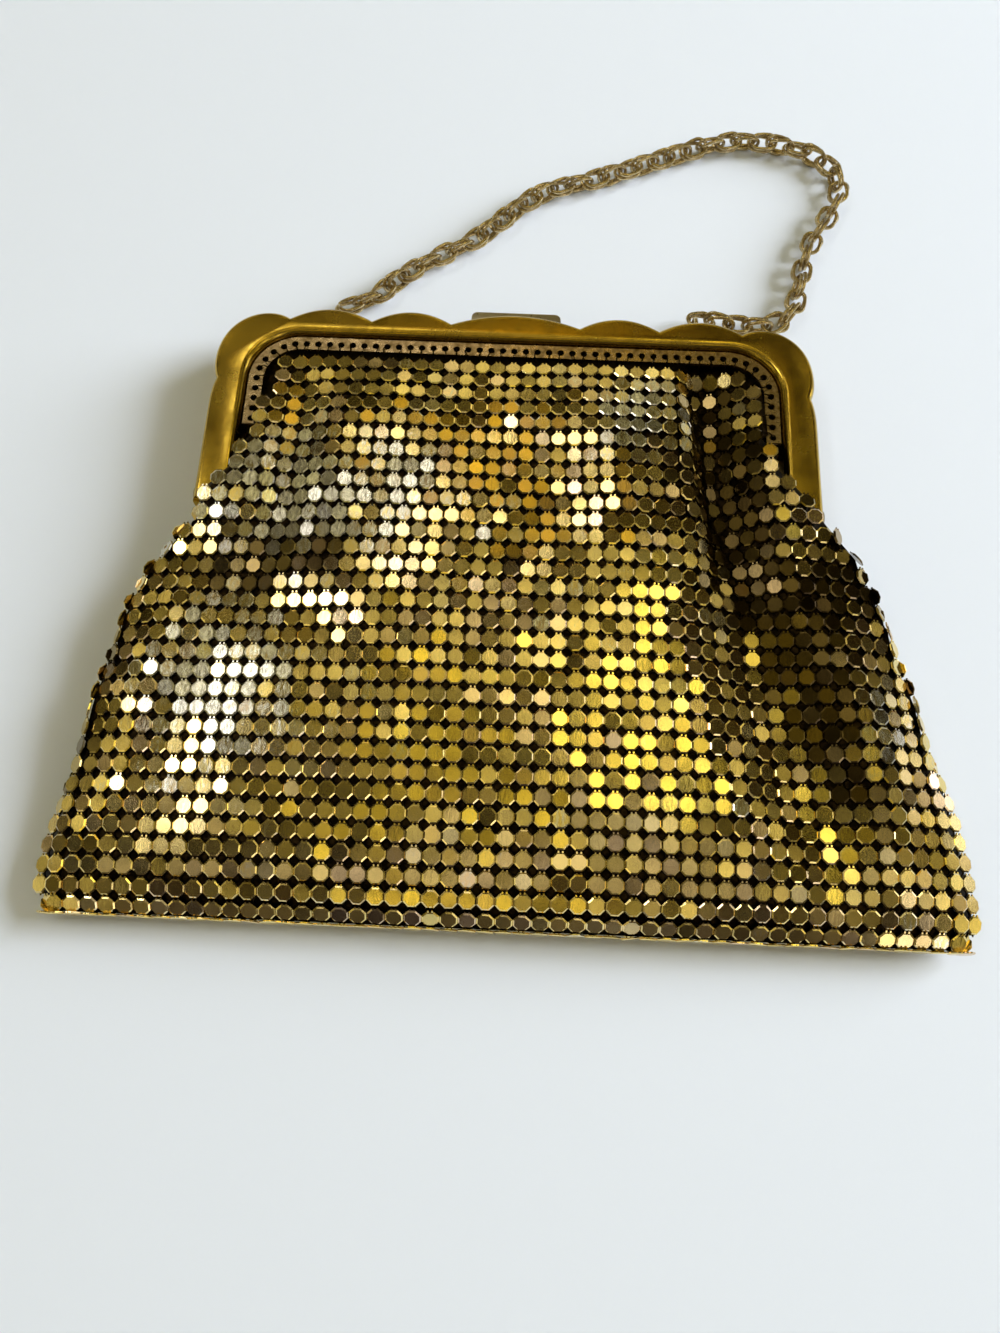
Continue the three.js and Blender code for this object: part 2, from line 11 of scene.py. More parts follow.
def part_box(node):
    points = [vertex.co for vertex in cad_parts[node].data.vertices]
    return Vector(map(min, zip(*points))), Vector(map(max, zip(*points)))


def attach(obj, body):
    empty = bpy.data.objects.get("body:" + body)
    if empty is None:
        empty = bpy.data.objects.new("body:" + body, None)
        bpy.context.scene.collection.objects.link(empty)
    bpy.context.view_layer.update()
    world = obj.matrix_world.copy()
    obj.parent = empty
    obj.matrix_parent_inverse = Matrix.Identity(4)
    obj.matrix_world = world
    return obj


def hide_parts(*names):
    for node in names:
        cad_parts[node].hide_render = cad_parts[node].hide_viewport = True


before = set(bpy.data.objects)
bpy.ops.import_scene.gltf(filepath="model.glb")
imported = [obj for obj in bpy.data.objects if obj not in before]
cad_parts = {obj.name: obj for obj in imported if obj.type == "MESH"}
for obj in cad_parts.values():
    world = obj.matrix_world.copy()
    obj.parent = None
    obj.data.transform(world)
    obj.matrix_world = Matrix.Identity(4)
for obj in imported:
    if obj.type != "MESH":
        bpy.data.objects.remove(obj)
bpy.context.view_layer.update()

# Pieces are drawn in millimetres, with the hinge line on y = 0 and the frame's middle on x = 0
MM = 0.001
LEAF_RADIUS = 3.6
front_low, front_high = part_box("frame_front")
HINGE = Vector(((front_low.x + front_high.x) / 2, front_low.y + LEAF_RADIUS * MM, 0))
FRAME_DEPTH = front_high.z / MM
HALF_WIDTH = (front_high.x - front_low.x) / 2 / MM

# Frame
ARM_WIDTH = 7.6
FRAME_RISE = 39.1
BAR_WIDTH = 4.2
LOBE_RISE = 2.8
CORNER_LOBE_RISE = 3.4
INNER_CORNER = 11.5
NOTCH_DEPTH = 0.9
NOTCH_BELOW_CORNER = 0.8
NOTCH_RUN = 7.6
CORNER_LOBE_FOOT = 4.6
CORNER_LOBE_LEAN = 5.3
CLEARANCE = 0.3
CUSPS = (0.217, 0.486, 0.764)
MID_LEVEL = FRAME_DEPTH / 2
INNER_HALF = HALF_WIDTH - ARM_WIDTH
CUSP_RISE = FRAME_RISE + BAR_WIDTH
ROUNDING_DEPTH = 1.8
ROUNDING_INSET = 1.5
ROUNDING_STEPS = 6

# Lift catch
CATCH_WIDTH = 20.6
CATCH_THICKNESS = 2.4
CATCH_STAND_OUT = 3.7
CATCH_SEAT = 1.6
CATCH_CORNER = 1.4
CATCH_RIM = 0.35

# Perforated strips
STRIP_WIDTH = 3.2
STRIP_THICKNESS = 0.8
STRIP_FOOT = 16
STRIP_HALF = INNER_HALF - CLEARANCE
STRIP_TOP = FRAME_RISE - CLEARANCE
STRIP_CORNER = INNER_CORNER - CLEARANCE
HOLE_DIAMETER = 1.5
HOLE_PITCH = 2.6
HOLE_INSET = 1.76
STRIP_BELOW_FACE = 1.6
STRIP_LEVEL = FRAME_DEPTH - STRIP_BELOW_FACE
BACK_STRIP_LEVEL = STRIP_BELOW_FACE + STRIP_THICKNESS
HOOK_RADIUS = 1.35
HOOK_WIRE = 0.26

# Bag
BAG_DROP = 89
BOTTOM_HALF = 90.2
BELLY_DEPTH = 15.5
BAG_WALL = 1.5
MOUTH_HALF = STRIP_HALF - STRIP_WIDTH - CLEARANCE
MOUTH_TOP = STRIP_TOP - STRIP_WIDTH - CLEARANCE
MOUTH_CORNER = 7.5
DRAPE = 2.1
OVER_ARM = FRAME_DEPTH + CLEARANCE + BAG_WALL

# Plates of the mesh
PLATE_ACROSS = 3.36
PLATE_THICKNESS = 0.42
PLATE_BEVEL = 0.28
BEVEL_RISE = 0.18
ROW_PITCH = 3.83
FIRST_ROW = 31.3
FRONT_ROWS = 31
COLUMNS = 26
PITCH_TOP = 3.38
PITCH_BOTTOM = 3.53
CLOSED_BELOW = -4.6
STRAIGHT_ABOVE = 21
BOTTOM_TURN = 3.5
PLEAT_SOFTNESS = 2.2
EDGE_SOFTNESS = 1.1
EDGE_OUT = 0.4
EDGE_TURN = 1.4
LAYER_SINK = 0.66
LAYER_THICKNESS = 0.5
MESH_RING_RADIUS = 0.86
MESH_RING_WIRE = 0.34
MESH_RING_SINK = 0.5

# Chain, lugs and rings
LUG_X = (CUSPS[1] + CUSPS[2]) / 2 * HALF_WIDTH
LUG_LEVEL = 3.3
LUG_RADIUS = 3.4
LUG_WIRE = 1.2
RING_RADIUS = 2.7
RING_WIRE = 1.0
LINK_LENGTH = 7.0
LINK_WIDTH = 5.0
LINK_WIRE = 0.86
LINK_PITCH = 4.5

# Small differences between plates and between links, the same on each run
rng = np.random.default_rng(7)

# Bag's shape. The upper part's rows: rise, share of the top edge's height; spread, from inside the
# strips to past the arms; over, from level with the strip to over the arm; puff, share of the depth.
FLAP = np.array(
    [
        (1.0, 0, 0, 0),
        (0.95, 0, 0.25, 0.03),
        (0.88, 0, 0.4, 0.06),
        (0.75, 0, 0.55, 0.07),
        (0.6, 0, 0.75, 0.08),
        (0.45, 0, 1, 0.08),
        (0.3, 0.12, 1, 0.08),
        (0.15, 0.38, 1, 0.08),
        (0, 0.6, 1, 0.09),
    ],
    dtype=[(name, float) for name in ("rise", "spread", "over", "puff")],
)
# The lower part's rows: drop, share of the bag's drop; half and shift, shares of half the bottom;
# crest, side, under and lift, heights as shares of the depth.
SACK = np.array(
    [
        (0.05, 0.735, 0.02, 0.95, 0.87, 0.0, 0),
        (0.12, 0.81, 0.024, 0.97, 0.66, 0.1, 0),
        (0.25, 0.878, 0.012, 0.98, 0.54, 0.1, 0),
        (0.4, 0.914, 0.014, 0.96, 0.5, 0.1, 0),
        (0.55, 0.947, 0.021, 0.92, 0.48, 0.1, 0),
        (0.71, 0.975, 0.026, 0.84, 0.45, 0.1, 0),
        (0.85, 0.993, 0.029, 0.74, 0.43, 0.1, 0),
        (0.945, 1, 0.031, 0.62, 0.4, 0.11, 0),
        (0.982, 0.99, 0.031, 0.49, 0.34, 0.14, 0.06),
        (1, 0.975, 0.031, 0.33, 0.29, 0.19, 0.17),
    ],
    dtype=[(name, float) for name in ("drop", "half", "shift", "crest", "side", "under", "lift")],
)
# Folds of the front, each through three points, across as shares of half the bottom and along as
# shares of the bag's drop. depth: share of the bag's depth; reach: share of its drop; lean: how
# much wider the fold is on its right side.
FOLDS = np.array(
    [
        ((0.445, 0.475, 0.51), (0.42, 0.1, -0.2), 0.52, 0.1, 0.42),
        ((0.5, 0.56, 0.68), (-0.15, -0.42, -0.78), 0.26, 0.15, 0.1),
        ((-0.53, -0.49, -0.55), (0.36, 0.08, -0.2), 0.14, 0.08, 0),
        ((-0.8, -0.62, -0.38), (-0.2, -0.25, -0.36), 0.12, 0.11, 0),
        ((-0.74, -0.8, -0.84), (-0.24, -0.5, -0.88), -0.2, 0.12, 0),
        ((0.78, 0.82, 0.87), (-0.3, -0.56, -0.9), -0.22, 0.12, 0),
        ((0.76, 0.82, 0.86), (-0.09, -0.16, -0.26), 0.13, 0.05, 0),
        ((0.2, 0.26, 0.28), (0.3, 0.02, -0.3), -0.08, 0.16, 0),
    ],
    dtype=[("across", float, 3), ("along", float, 3), ("depth", float), ("reach", float), ("lean", float)],
)


def blur(values, spread):
    """Values smoothed along a line, with the ends held"""
    reach = int(3 * spread) + 1
    steps = np.arange(-reach, reach + 1)
    weights = np.exp(-0.5 * (steps / spread) ** 2)
    weights /= weights.sum()
    padded = np.pad(values, reach, mode="edge")
    return np.convolve(padded, weights, mode="valid")


def bag_profile():
    """Sizes of the bag's section at closely spaced heights from its bottom to its top edge"""
    flap_y = FLAP["rise"] * MOUTH_TOP
    corner = np.maximum(0, flap_y - (MOUTH_TOP - MOUTH_CORNER))
    rounding = MOUTH_CORNER - np.sqrt(MOUTH_CORNER**2 - corner**2)
    flap_side = STRIP_LEVEL + (OVER_ARM - STRIP_LEVEL) * FLAP["over"]
    flap_under = STRIP_BELOW_FACE * (1 - FLAP["over"])
    knots = {
        "y": np.concatenate([flap_y, -SACK["drop"] * BAG_DROP]),
        "middle": np.concatenate([0 * flap_y, SACK["shift"] * BOTTOM_HALF]),
        "half": np.concatenate([
            MOUTH_HALF - rounding + FLAP["spread"] * (HALF_WIDTH + DRAPE - MOUTH_HALF),
            SACK["half"] * BOTTOM_HALF,
        ]),
        "crest": np.concatenate([flap_side + FLAP["puff"] * BELLY_DEPTH, SACK["crest"] * BELLY_DEPTH]),
        "side": np.concatenate([flap_side, SACK["side"] * BELLY_DEPTH]),
        "under": np.concatenate([flap_under, SACK["under"] * BELLY_DEPTH]),
        "lift": np.concatenate([flap_under, SACK["lift"] * BELLY_DEPTH]),
    }
    step, softness = 0.25, 1.6
    lines = np.arange(-BAG_DROP, MOUTH_TOP + step, step)
    order = np.argsort(knots["y"])
    profile = {"y": lines}
    for name, values in knots.items():
        if name != "y":
            raw = np.interp(lines, knots["y"][order], values[order])
            profile[name] = blur(raw, softness / step)
    return profile


PROFILE = bag_profile()


def section_at(y):
    """Sizes of the bag's section at one height"""
    return {name: float(np.interp(y, PROFILE["y"], PROFILE[name])) for name in PROFILE if name != "y"}


def fold_depth(x, y):
    """How far the folds push the front down at points of one row"""
    total = np.zeros_like(x)
    for fold in FOLDS:
        points = [(a * BOTTOM_HALF, b * BAG_DROP) for a, b in zip(fold["across"], fold["along"])]
        nearest = np.full_like(x, np.inf)
        place = np.zeros_like(x)
        for i in range(2):
            (ax, ay), (bx, by) = points[i], points[i + 1]
            dx, dy = bx - ax, by - ay
            t = np.clip(((x - ax) * dx + (y - ay) * dy) / (dx * dx + dy * dy), 0, 1)
            off_x, off_y = x - ax - t * dx, y - ay - t * dy
            distance = np.hypot(off_x, off_y)
            leaned = 1 + fold["lean"] * np.sign(dx * off_y - dy * off_x)
            distance = distance / leaned
            closer = distance < nearest
            nearest = np.where(closer, distance, nearest)
            place = np.where(closer, (i + t) / 2, place)
        reach = fold["reach"] * BAG_DROP
        sideways = np.cos(np.minimum(nearest / reach, 1) * math.pi / 2) ** 2
        endwise = np.sin(math.pi * (0.1 + 0.8 * place)) ** 0.7
        total += fold["depth"] * BELLY_DEPTH * sideways * endwise
    return total


def ripple(x, y):
    """Low waves that the loose mesh lies in"""
    return (
        0.16 * np.sin(x / 5.1 + 0.6 * np.sin(y / 9)) * np.sin(y / 7.3 + 1.3)
        + 0.22 * np.sin(x / 11 + y / 17 + 0.8)
        + 0.12 * np.sin(y / 4.4 + x / 23)
    )


def bag_heights(section, share, y):
    """Places from side to side of a section, with the heights of the front and of the back there"""
    straight = share * (INNER_HALF + DRAPE)
    past = section["half"] - INNER_HALF - DRAPE
    x = section["middle"] + straight + past * np.abs(share) ** 2 * share
    crown = 1 - np.abs(share) ** 4
    fade = 1 - np.abs(share) ** 10
    from_top = (MOUTH_TOP - y) / MOUTH_TOP
    from_bottom = (y + BAG_DROP) / BAG_DROP
    room = min(1, 6 * from_top) * min(1, 6 * from_bottom)
    top = section["side"] + (section["crest"] - section["side"]) * crown
    top = top - (fold_depth(x, y) + ripple(x, y)) * fade * room
    under = section["under"] + (section["lift"] - section["under"]) * (1 - np.abs(share) ** 8)
    return x, top, under + CLEARANCE


def column_pitch(y):
    """Distance between columns of plates, which spread a little towards the bottom"""
    return PITCH_BOTTOM + (PITCH_TOP - PITCH_BOTTOM) * (y + BAG_DROP) / (FIRST_ROW + BAG_DROP)


def arc_lengths(line):
    """Distance along a line to each of its points"""
    steps = np.hypot(np.diff(line[:, 0]), np.diff(line[:, 1]))
    return np.concatenate([[0], np.cumsum(steps)])


def evenly(line, step):
    """A line with evenly spaced points"""
    lengths = arc_lengths(line)
    places = np.linspace(0, lengths[-1], int(lengths[-1] / step) + 2)
    return np.stack([np.interp(places, lengths, line[:, i]) for i in range(2)], axis=1)


def softened(line, spread):
    """A line with its corners rounded, with evenly spaced points"""
    step = 0.3
    line = evenly(line, step)
    reach = int(3 * spread / step) + 1
    first, last = line[0], line[-1]
    before = 2 * first - line[reach:0:-1]
    after = 2 * last - line[-2:-reach - 2:-1]
    padded = np.concatenate([before, line, after])
    steps = np.arange(-reach, reach + 1)
    weights = np.exp(-0.5 * (steps * step / spread) ** 2)
    weights /= weights.sum()
    return np.stack([np.convolve(padded[:, i], weights, mode="valid") for i in range(2)], axis=1)


def half_line(x, heights, side, tip=None):
    """A half section from its middle to the pleat's tip at the side"""
    keep = (x >= 0) if side > 0 else (x <= 0)
    line = np.stack([x[keep], heights[keep]], axis=1)
    if side < 0:
        line = line[::-1]
    line = np.concatenate([[[0, np.interp(0, x, heights)]], line])
    if tip is not None:
        line = np.concatenate([line, [tip]])
    return line


# Rows of plates already laid out, by height and face
ROWS = {}


def row_points(y, face):
    """Places of a row's plates from left to right, with nan where the row has none. The front's
    columns keep their distance along the surface, so that they follow the folds."""
    key = (round(y, 3), face)
    if key in ROWS:
        return ROWS[key]
    section = section_at(y)
    share = np.linspace(-1, 1, 481)
    x, top, under = bag_heights(section, share, y)
    centre = section["middle"]
    heights = top if face == "front" else under
    pitch = column_pitch(y)
    places = np.full((2 * COLUMNS + 1, 2), np.nan)
    for side in (-1, 1):
        end = -1 if side > 0 else 0
        wall = top[end] - under[end]
        if y < CLOSED_BELOW:
            front_length = arc_lengths(half_line(x - centre, top, side))[-1]
            pleat = (COLUMNS + 0.5) * pitch - front_length
            depth = math.sqrt(max(0, pleat**2 - (wall / 2) ** 2))
            tip = (x[end] - centre - side * depth, (top[end] + under[end]) / 2)
            line = softened(half_line(x - centre, heights, side, tip), PLEAT_SOFTNESS)
            lengths = arc_lengths(line)
            spots = np.arange(COLUMNS + 1) * lengths[-1] / (COLUMNS + 0.5)
            count = COLUMNS
        else:
            turned = EDGE_TURN if face == "front" else 0
            tip = (x[end] - centre + side * EDGE_OUT, heights[end] - turned)
            line = softened(half_line(x - centre, heights, side, tip), EDGE_SOFTNESS)
            lengths = arc_lengths(line)
            count = min(COLUMNS, int(lengths[-1] / pitch - 0.3))
            spots = np.arange(count + 1) * pitch
        for k in range(count + 1):
            spot = [np.interp(spots[k], lengths, line[:, i]) for i in range(2)]
            places[COLUMNS + side * k] = spot[0] + centre, spot[1]
    if y > STRAIGHT_ABOVE:
        level = row_points(STRAIGHT_ABOVE, face)
        for k in range(2 * COLUMNS + 1):
            at = level[k, 0]
            if np.isnan(at) or abs(at) > section["half"] - 0.45 * pitch:
                places[k] = np.nan
            else:
                places[k] = at, np.interp(at, x, heights)
    ROWS[key] = places
    return places


def mesh_grid():
    """Places of all plates: rows from the front's top edge down, round the bottom and up the back"""
    front_y = FIRST_ROW - ROW_PITCH * np.arange(FRONT_ROWS)
    turn_y = front_y[-1] - BOTTOM_TURN
    rows = []
    for y in [*front_y, turn_y]:
        line = row_points(y, "front")
        rows.append(np.stack([line[:, 0], np.full(len(line), y), line[:, 1]], axis=1))
    last_front = row_points(turn_y, "front")
    last_back = row_points(turn_y, "back")
    level = (last_front[:, 1] + last_back[:, 1]) / 2
    rows.append(np.stack([last_front[:, 0], np.full(len(level), -BAG_DROP + 0.1), level], axis=1))
    for y in [turn_y, *front_y[::-1]]:
        line = row_points(y, "back")
        rows.append(np.stack([line[:, 0], np.full(len(line), y), line[:, 1]], axis=1))
    return np.array(rows)


def differences(grid, axis):
    """Directions along an axis of the grid, one-sided next to missing plates"""
    ahead = np.roll(grid, -1, axis=axis)
    behind = np.roll(grid, 1, axis=axis)
    end = [slice(None)] * 3
    end[axis] = -1
    ahead[tuple(end)] = np.nan
    start = [slice(None)] * 3
    start[axis] = 0
    behind[tuple(start)] = np.nan
    forward = ahead - grid
    backward = grid - behind
    both = (forward + backward) / 2
    both = np.where(np.isnan(both), forward, both)
    return np.where(np.isnan(both), backward, both)


def unit(vectors):
    """Vectors at length one"""
    return vectors / np.linalg.norm(vectors, axis=-1, keepdims=True)


def plate_axes(grid):
    """Directions of each plate: across its row, up its column and out of the bag"""
    across = differences(grid, 1)
    down = differences(grid, 0)
    across = np.where(np.isnan(across), (1, 0, 0), across)
    down = np.where(np.isnan(down), (0, -1, 0), down)
    outward = unit(np.cross(across, -down))
    across = unit(across)
    up = unit(np.cross(outward, across))
    return across, up, outward


def joined(name, template, places, turns, tones=None):
    """Copies of a template at many places, as one mesh"""
    template.verts.index_update()
    points = np.array([v.co[:] for v in template.verts])
    faces = np.array([len(f.verts) for f in template.faces])
    corners = np.array([v.index for f in template.faces for v in f.verts])
    spread = np.einsum("nij,vj->nvi", turns, points) + places[:, None, :]
    count = len(places)
    mesh = bpy.data.meshes.new(name)
    mesh.vertices.add(count * len(points))
    shifted = spread.reshape(-1, 3) * MM + np.array(HINGE)
    mesh.vertices.foreach_set("co", shifted.astype(np.float32).ravel())
    all_corners = (corners[None, :] + len(points) * np.arange(count)[:, None]).ravel()
    mesh.loops.add(len(all_corners))
    mesh.loops.foreach_set("vertex_index", all_corners.astype(np.int32))
    totals = np.tile(faces, count)
    starts = np.concatenate([[0], np.cumsum(totals)[:-1]])
    mesh.polygons.add(len(totals))
    mesh.polygons.foreach_set("loop_start", starts.astype(np.int32))
    mesh.update(calc_edges=True)
    mesh.validate()
    mesh.shade_flat()
    if tones is not None:
        for label, values in tones.items():
            layer = mesh.attributes.new(label, "FLOAT", "POINT")
            layer.data.foreach_set("value", np.repeat(values, len(points)).astype(np.float32))
    template.free()
    return mesh


def show(name, mesh, material, slot, *nodes):
    """A piece of the purse, in place of the plain nodes that it replaces"""
    piece = bpy.data.objects.new(name, mesh)
    bpy.context.scene.collection.objects.link(piece)
    mesh.materials.clear()
    mesh.materials.append(material)
    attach(piece, "root")
    if nodes:
        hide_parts(*nodes)
    return piece


def to_mesh(name, bm, smooth=None):
    """Mesh of a shape drawn in millimetres, set in its place"""
    bmesh.ops.transform(bm, matrix=Matrix.Translation(HINGE) @ Matrix.Scale(MM, 4), verts=bm.verts)
    mesh = bpy.data.meshes.new(name)
    bm.to_mesh(mesh)
    bm.free()
    if smooth is not None:
        mesh.shade_smooth()
        mesh.set_sharp_from_angle(angle=math.radians(smooth))
    return mesh


def plate_template():
    """Octagonal plate with a bevelled rim and the two ends of its upper prongs"""
    bm = bmesh.new()
    radius = PLATE_ACROSS / 2 / math.cos(math.pi / 8)
    body = PLATE_THICKNESS - BEVEL_RISE
    bmesh.ops.create_cone(bm, cap_ends=True, segments=8, radius1=radius, radius2=radius, depth=body)
    bmesh.ops.rotate(bm, verts=bm.verts, matrix=Matrix.Rotation(math.pi / 8, 3, "Z"))
    bmesh.ops.translate(bm, verts=bm.verts, vec=(0, 0, -PLATE_THICKNESS + body / 2))
    top = max(bm.faces, key=lambda face: face.calc_center_median().z)
    bmesh.ops.inset_individual(
        bm, faces=[top], thickness=PLATE_BEVEL, depth=BEVEL_RISE, use_even_offset=True)
    for side in (-1, 1):
        prong = Matrix.Translation((side * 0.4, PLATE_ACROSS / 2 + 0.08, -0.25))
        bmesh.ops.create_cube(bm, size=1, matrix=prong @ Matrix.Diagonal((0.3, 0.42, 0.26, 1)))
    return bm


def ring_template(radius, wire, steps, sides):
    """Round ring of wire that lies flat"""
    bm = bmesh.new()
    section = bmesh.ops.create_circle(bm, segments=sides, radius=wire / 2)
    bmesh.ops.rotate(bm, verts=bm.verts, matrix=Matrix.Rotation(math.pi / 2, 3, "X"))
    bmesh.ops.translate(bm, verts=bm.verts, vec=(radius, 0, 0))
    bmesh.ops.spin(
        bm, geom=bm.verts[:] + bm.edges[:], cent=(0, 0, 0), axis=(0, 0, 1),
        angle=2 * math.pi, steps=steps, use_merge=True,
    )
    bmesh.ops.recalc_face_normals(bm, faces=bm.faces)
    return bm


def tilted(turns, lean_x, lean_y, spin):
    """Small turns of each plate about its own axes"""
    cx, sx, cy, sy, cz, sz = (f(a) for a in (lean_x, lean_y, spin) for f in (np.cos, np.sin))
    zero, one = np.zeros_like(cx), np.ones_like(cx)
    about_x = np.array([[one, zero, zero], [zero, cx, -sx], [zero, sx, cx]]).transpose(2, 0, 1)
    about_y = np.array([[cy, zero, sy], [zero, one, zero], [-sy, zero, cy]]).transpose(2, 0, 1)
    about_z = np.array([[cz, -sz, zero], [sz, cz, zero], [zero, zero, one]]).transpose(2, 0, 1)
    return turns @ about_x @ about_y @ about_z


# Patches where the plates' plating is worn or paler: x, y and reach in millimetres, and how much
PALE_PATCHES = (
    (28, 18, 14, 0.75),
    (-56, -46, 22, 0.75),
    (-52, 0, 20, 0.7),
    (-36, -8, 14, 0.45),
    (-21, 1, 12, 0.6),
    (77, -48, 10, 0.6),
)

# Patches of painted shade that darken the plates: in the deep fold, right of its foot and on the left
PAINTED_SHADE_PATCHES = (
    (44, 26, 9, 0.95),
    (47, 12, 11, 1.0),
    (49, -4, 11, 1.0),
    (52, -18, 12, 1.0),
    (59, -32, 13, 1.0),
    (65, -46, 13, 1.0),
    (70, -60, 10, 0.9),
    (76, -14, 12, 0.8),
    (66, -20, 9, 0.5),
    (-58, -16, 9, 0.8),
    (-46, -20, 11, 0.85),
    (-36, -15, 9, 0.7),
    (-84, -60, 10, 0.9),
    (-79, -38, 8, 0.6),
)


def patch_share(places, patches):
    """How far each place lies in the patches"""
    total = np.zeros(len(places))
    for x, y, reach, amount in patches:
        distance = np.hypot(places[:, 0] - x, places[:, 1] - y)
        total += amount * np.exp(-0.5 * (distance / (0.6 * reach)) ** 2)
    return total


def plate_tones(places):
    """Tone, wear and darkness of each plate; the darkness is painted shade from the patches, plus a little
    random darkening
    """
    count = len(places)
    pale, dark = (patch_share(places, patches) for patches in (PALE_PATCHES, PAINTED_SHADE_PATCHES))
    return {
        "tone": rng.random(count),
        "worn": np.clip(pale + rng.normal(0, 0.16, count), 0, 1),
        # dark: painted shade from the patches, plus random darkening of single plates
        "dark": np.clip(dark + rng.normal(0, 0.16, count), 0, 0.95),
    }


def make_plates(grid, across, up, outward, rows, name, material, *nodes):
    """The plates of some rows, each a little out of line"""
    choose = np.zeros(grid.shape[:2], bool)
    choose[rows] = True
    choose &= ~np.isnan(grid[:, :, 0])
    places = grid[choose]
    turns = np.stack([across[choose], up[choose], outward[choose]], axis=2)
    count = len(places)
    lean_x, lean_y, spin = rng.normal(0, (0.034, 0.034, 0.02), (count, 3)).T
    turns = tilted(turns, lean_x, lean_y, spin)
    mesh = joined(name, plate_template(), places, turns, plate_tones(places))
    return show(name, mesh, material, "plate_gold", *nodes)


def make_link_rings(grid, across, outward, rows, name, material):
    """Rings between every four plates, which hold their prongs"""
    corners = [grid[:-1, :-1], grid[1:, :-1], grid[:-1, 1:], grid[1:, 1:]]
    middle = sum(corners) / 4
    across, outward = (
        unit(sum([a[:-1, :-1], a[1:, :-1], a[:-1, 1:], a[1:, 1:]])) for a in (across, outward))
    choose = np.zeros(middle.shape[:2], bool)
    choose[rows] = True
    choose &= ~np.isnan(middle[:, :, 0])
    across, outward = across[choose], outward[choose]
    across = unit(across - outward * np.sum(across * outward, 1, keepdims=True))
    turns = np.stack([across, np.cross(outward, across), outward], axis=2)
    count = len(turns)
    turns = tilted(turns, *rng.normal(0, (0.25, 0.25, 0.5), (count, 3)).T)
    places = middle[choose] - outward * MESH_RING_SINK
    mesh = joined(name, ring_template(MESH_RING_RADIUS, MESH_RING_WIRE, 8, 3), places, turns)
    return show(name, mesh, material, "link_bronze")


def under_strip(x, y, is_front):
    """Nearest place to a point where the layer is hidden under a strip"""
    corner_x, corner_y = STRIP_HALF - STRIP_CORNER, STRIP_TOP - STRIP_CORNER
    radius = STRIP_CORNER - 1
    x = min(max(x, -corner_x - radius), corner_x + radius)
    y = min(y, corner_y + radius)
    past_x, past_y = abs(x) - corner_x, y - corner_y
    if past_x > 0 and past_y > 0:
        scale = min(1, radius / math.hypot(past_x, past_y))
        x = math.copysign(corner_x + past_x * scale, x)
        y = corner_y + past_y * scale
    level = STRIP_LEVEL - STRIP_THICKNESS - 0.5 if is_front else BACK_STRIP_LEVEL + 0.5
    return np.array((x, y, level))


def make_links_and_shade_sheet(grid, outward, material):
    """Sheet right under the plates that stands for their linked prongs and rings; its near-black colour is
    painted shade that shows in the gaps between the plates
    """
    rows, columns = grid.shape[:2]
    sunk = grid - outward * LAYER_SINK
    for r in range(rows):
        known = np.where(~np.isnan(grid[r, :, 0]))[0]
        is_front = r < FRONT_ROWS + 1
        for k in range(columns):
            if known[0] <= k <= known[-1]:
                continue
            side = 1 if k > known[-1] else -1
            near = sunk[r, known[-1] if side > 0 else known[0]]
            if near[1] > STRIP_FOOT:
                sunk[r, k] = under_strip(side * STRIP_HALF, near[1], is_front)
            else:
                sunk[r, k] = near + np.array((side * 1.6, 0, -0.8 if is_front else 0.4))
    first, last = (
        np.array([under_strip(x, STRIP_TOP, is_front) for x in sunk[r, :, 0]])
        for r, is_front in ((0, True), (-1, False)))
    sunk = np.concatenate([first[None], sunk, last[None]])
    bm = bmesh.new()
    bmesh.ops.create_grid(bm, x_segments=columns - 1, y_segments=rows + 1, size=1)
    for vert in bm.verts:
        k = round((vert.co.x + 1) / 2 * (columns - 1))
        r = round((1 - vert.co.y) / 2 * (rows + 1))
        vert.co = sunk[r, k]
    bmesh.ops.remove_doubles(bm, verts=bm.verts, dist=0.05)
    bmesh.ops.recalc_face_normals(bm, faces=bm.faces)
    # The sheet takes the near-black link metal: painted shade in the gaps between the plates
    piece = show("links_and_shade_sheet", to_mesh("links_and_shade_sheet", bm, 60), material, "link_bronze")
    wall = piece.modifiers.new("wall", "SOLIDIFY")
    wall.thickness = LAYER_THICKNESS * MM


# Frame
def curve_points(points, count):
    """Points along a quadratic or cubic curve, without the first"""
    t = (np.arange(count) + 1)[:, None] / count
    p = [np.array(point, float) for point in points]
    if len(p) == 3:
        return (1 - t) ** 2 * p[0] + 2 * (1 - t) * t * p[1] + t**2 * p[2]
    return (1 - t) ** 3 * p[0] + 3 * (1 - t) ** 2 * t * p[1] + 3 * (1 - t) * t**2 * p[2] + t**3 * p[3]


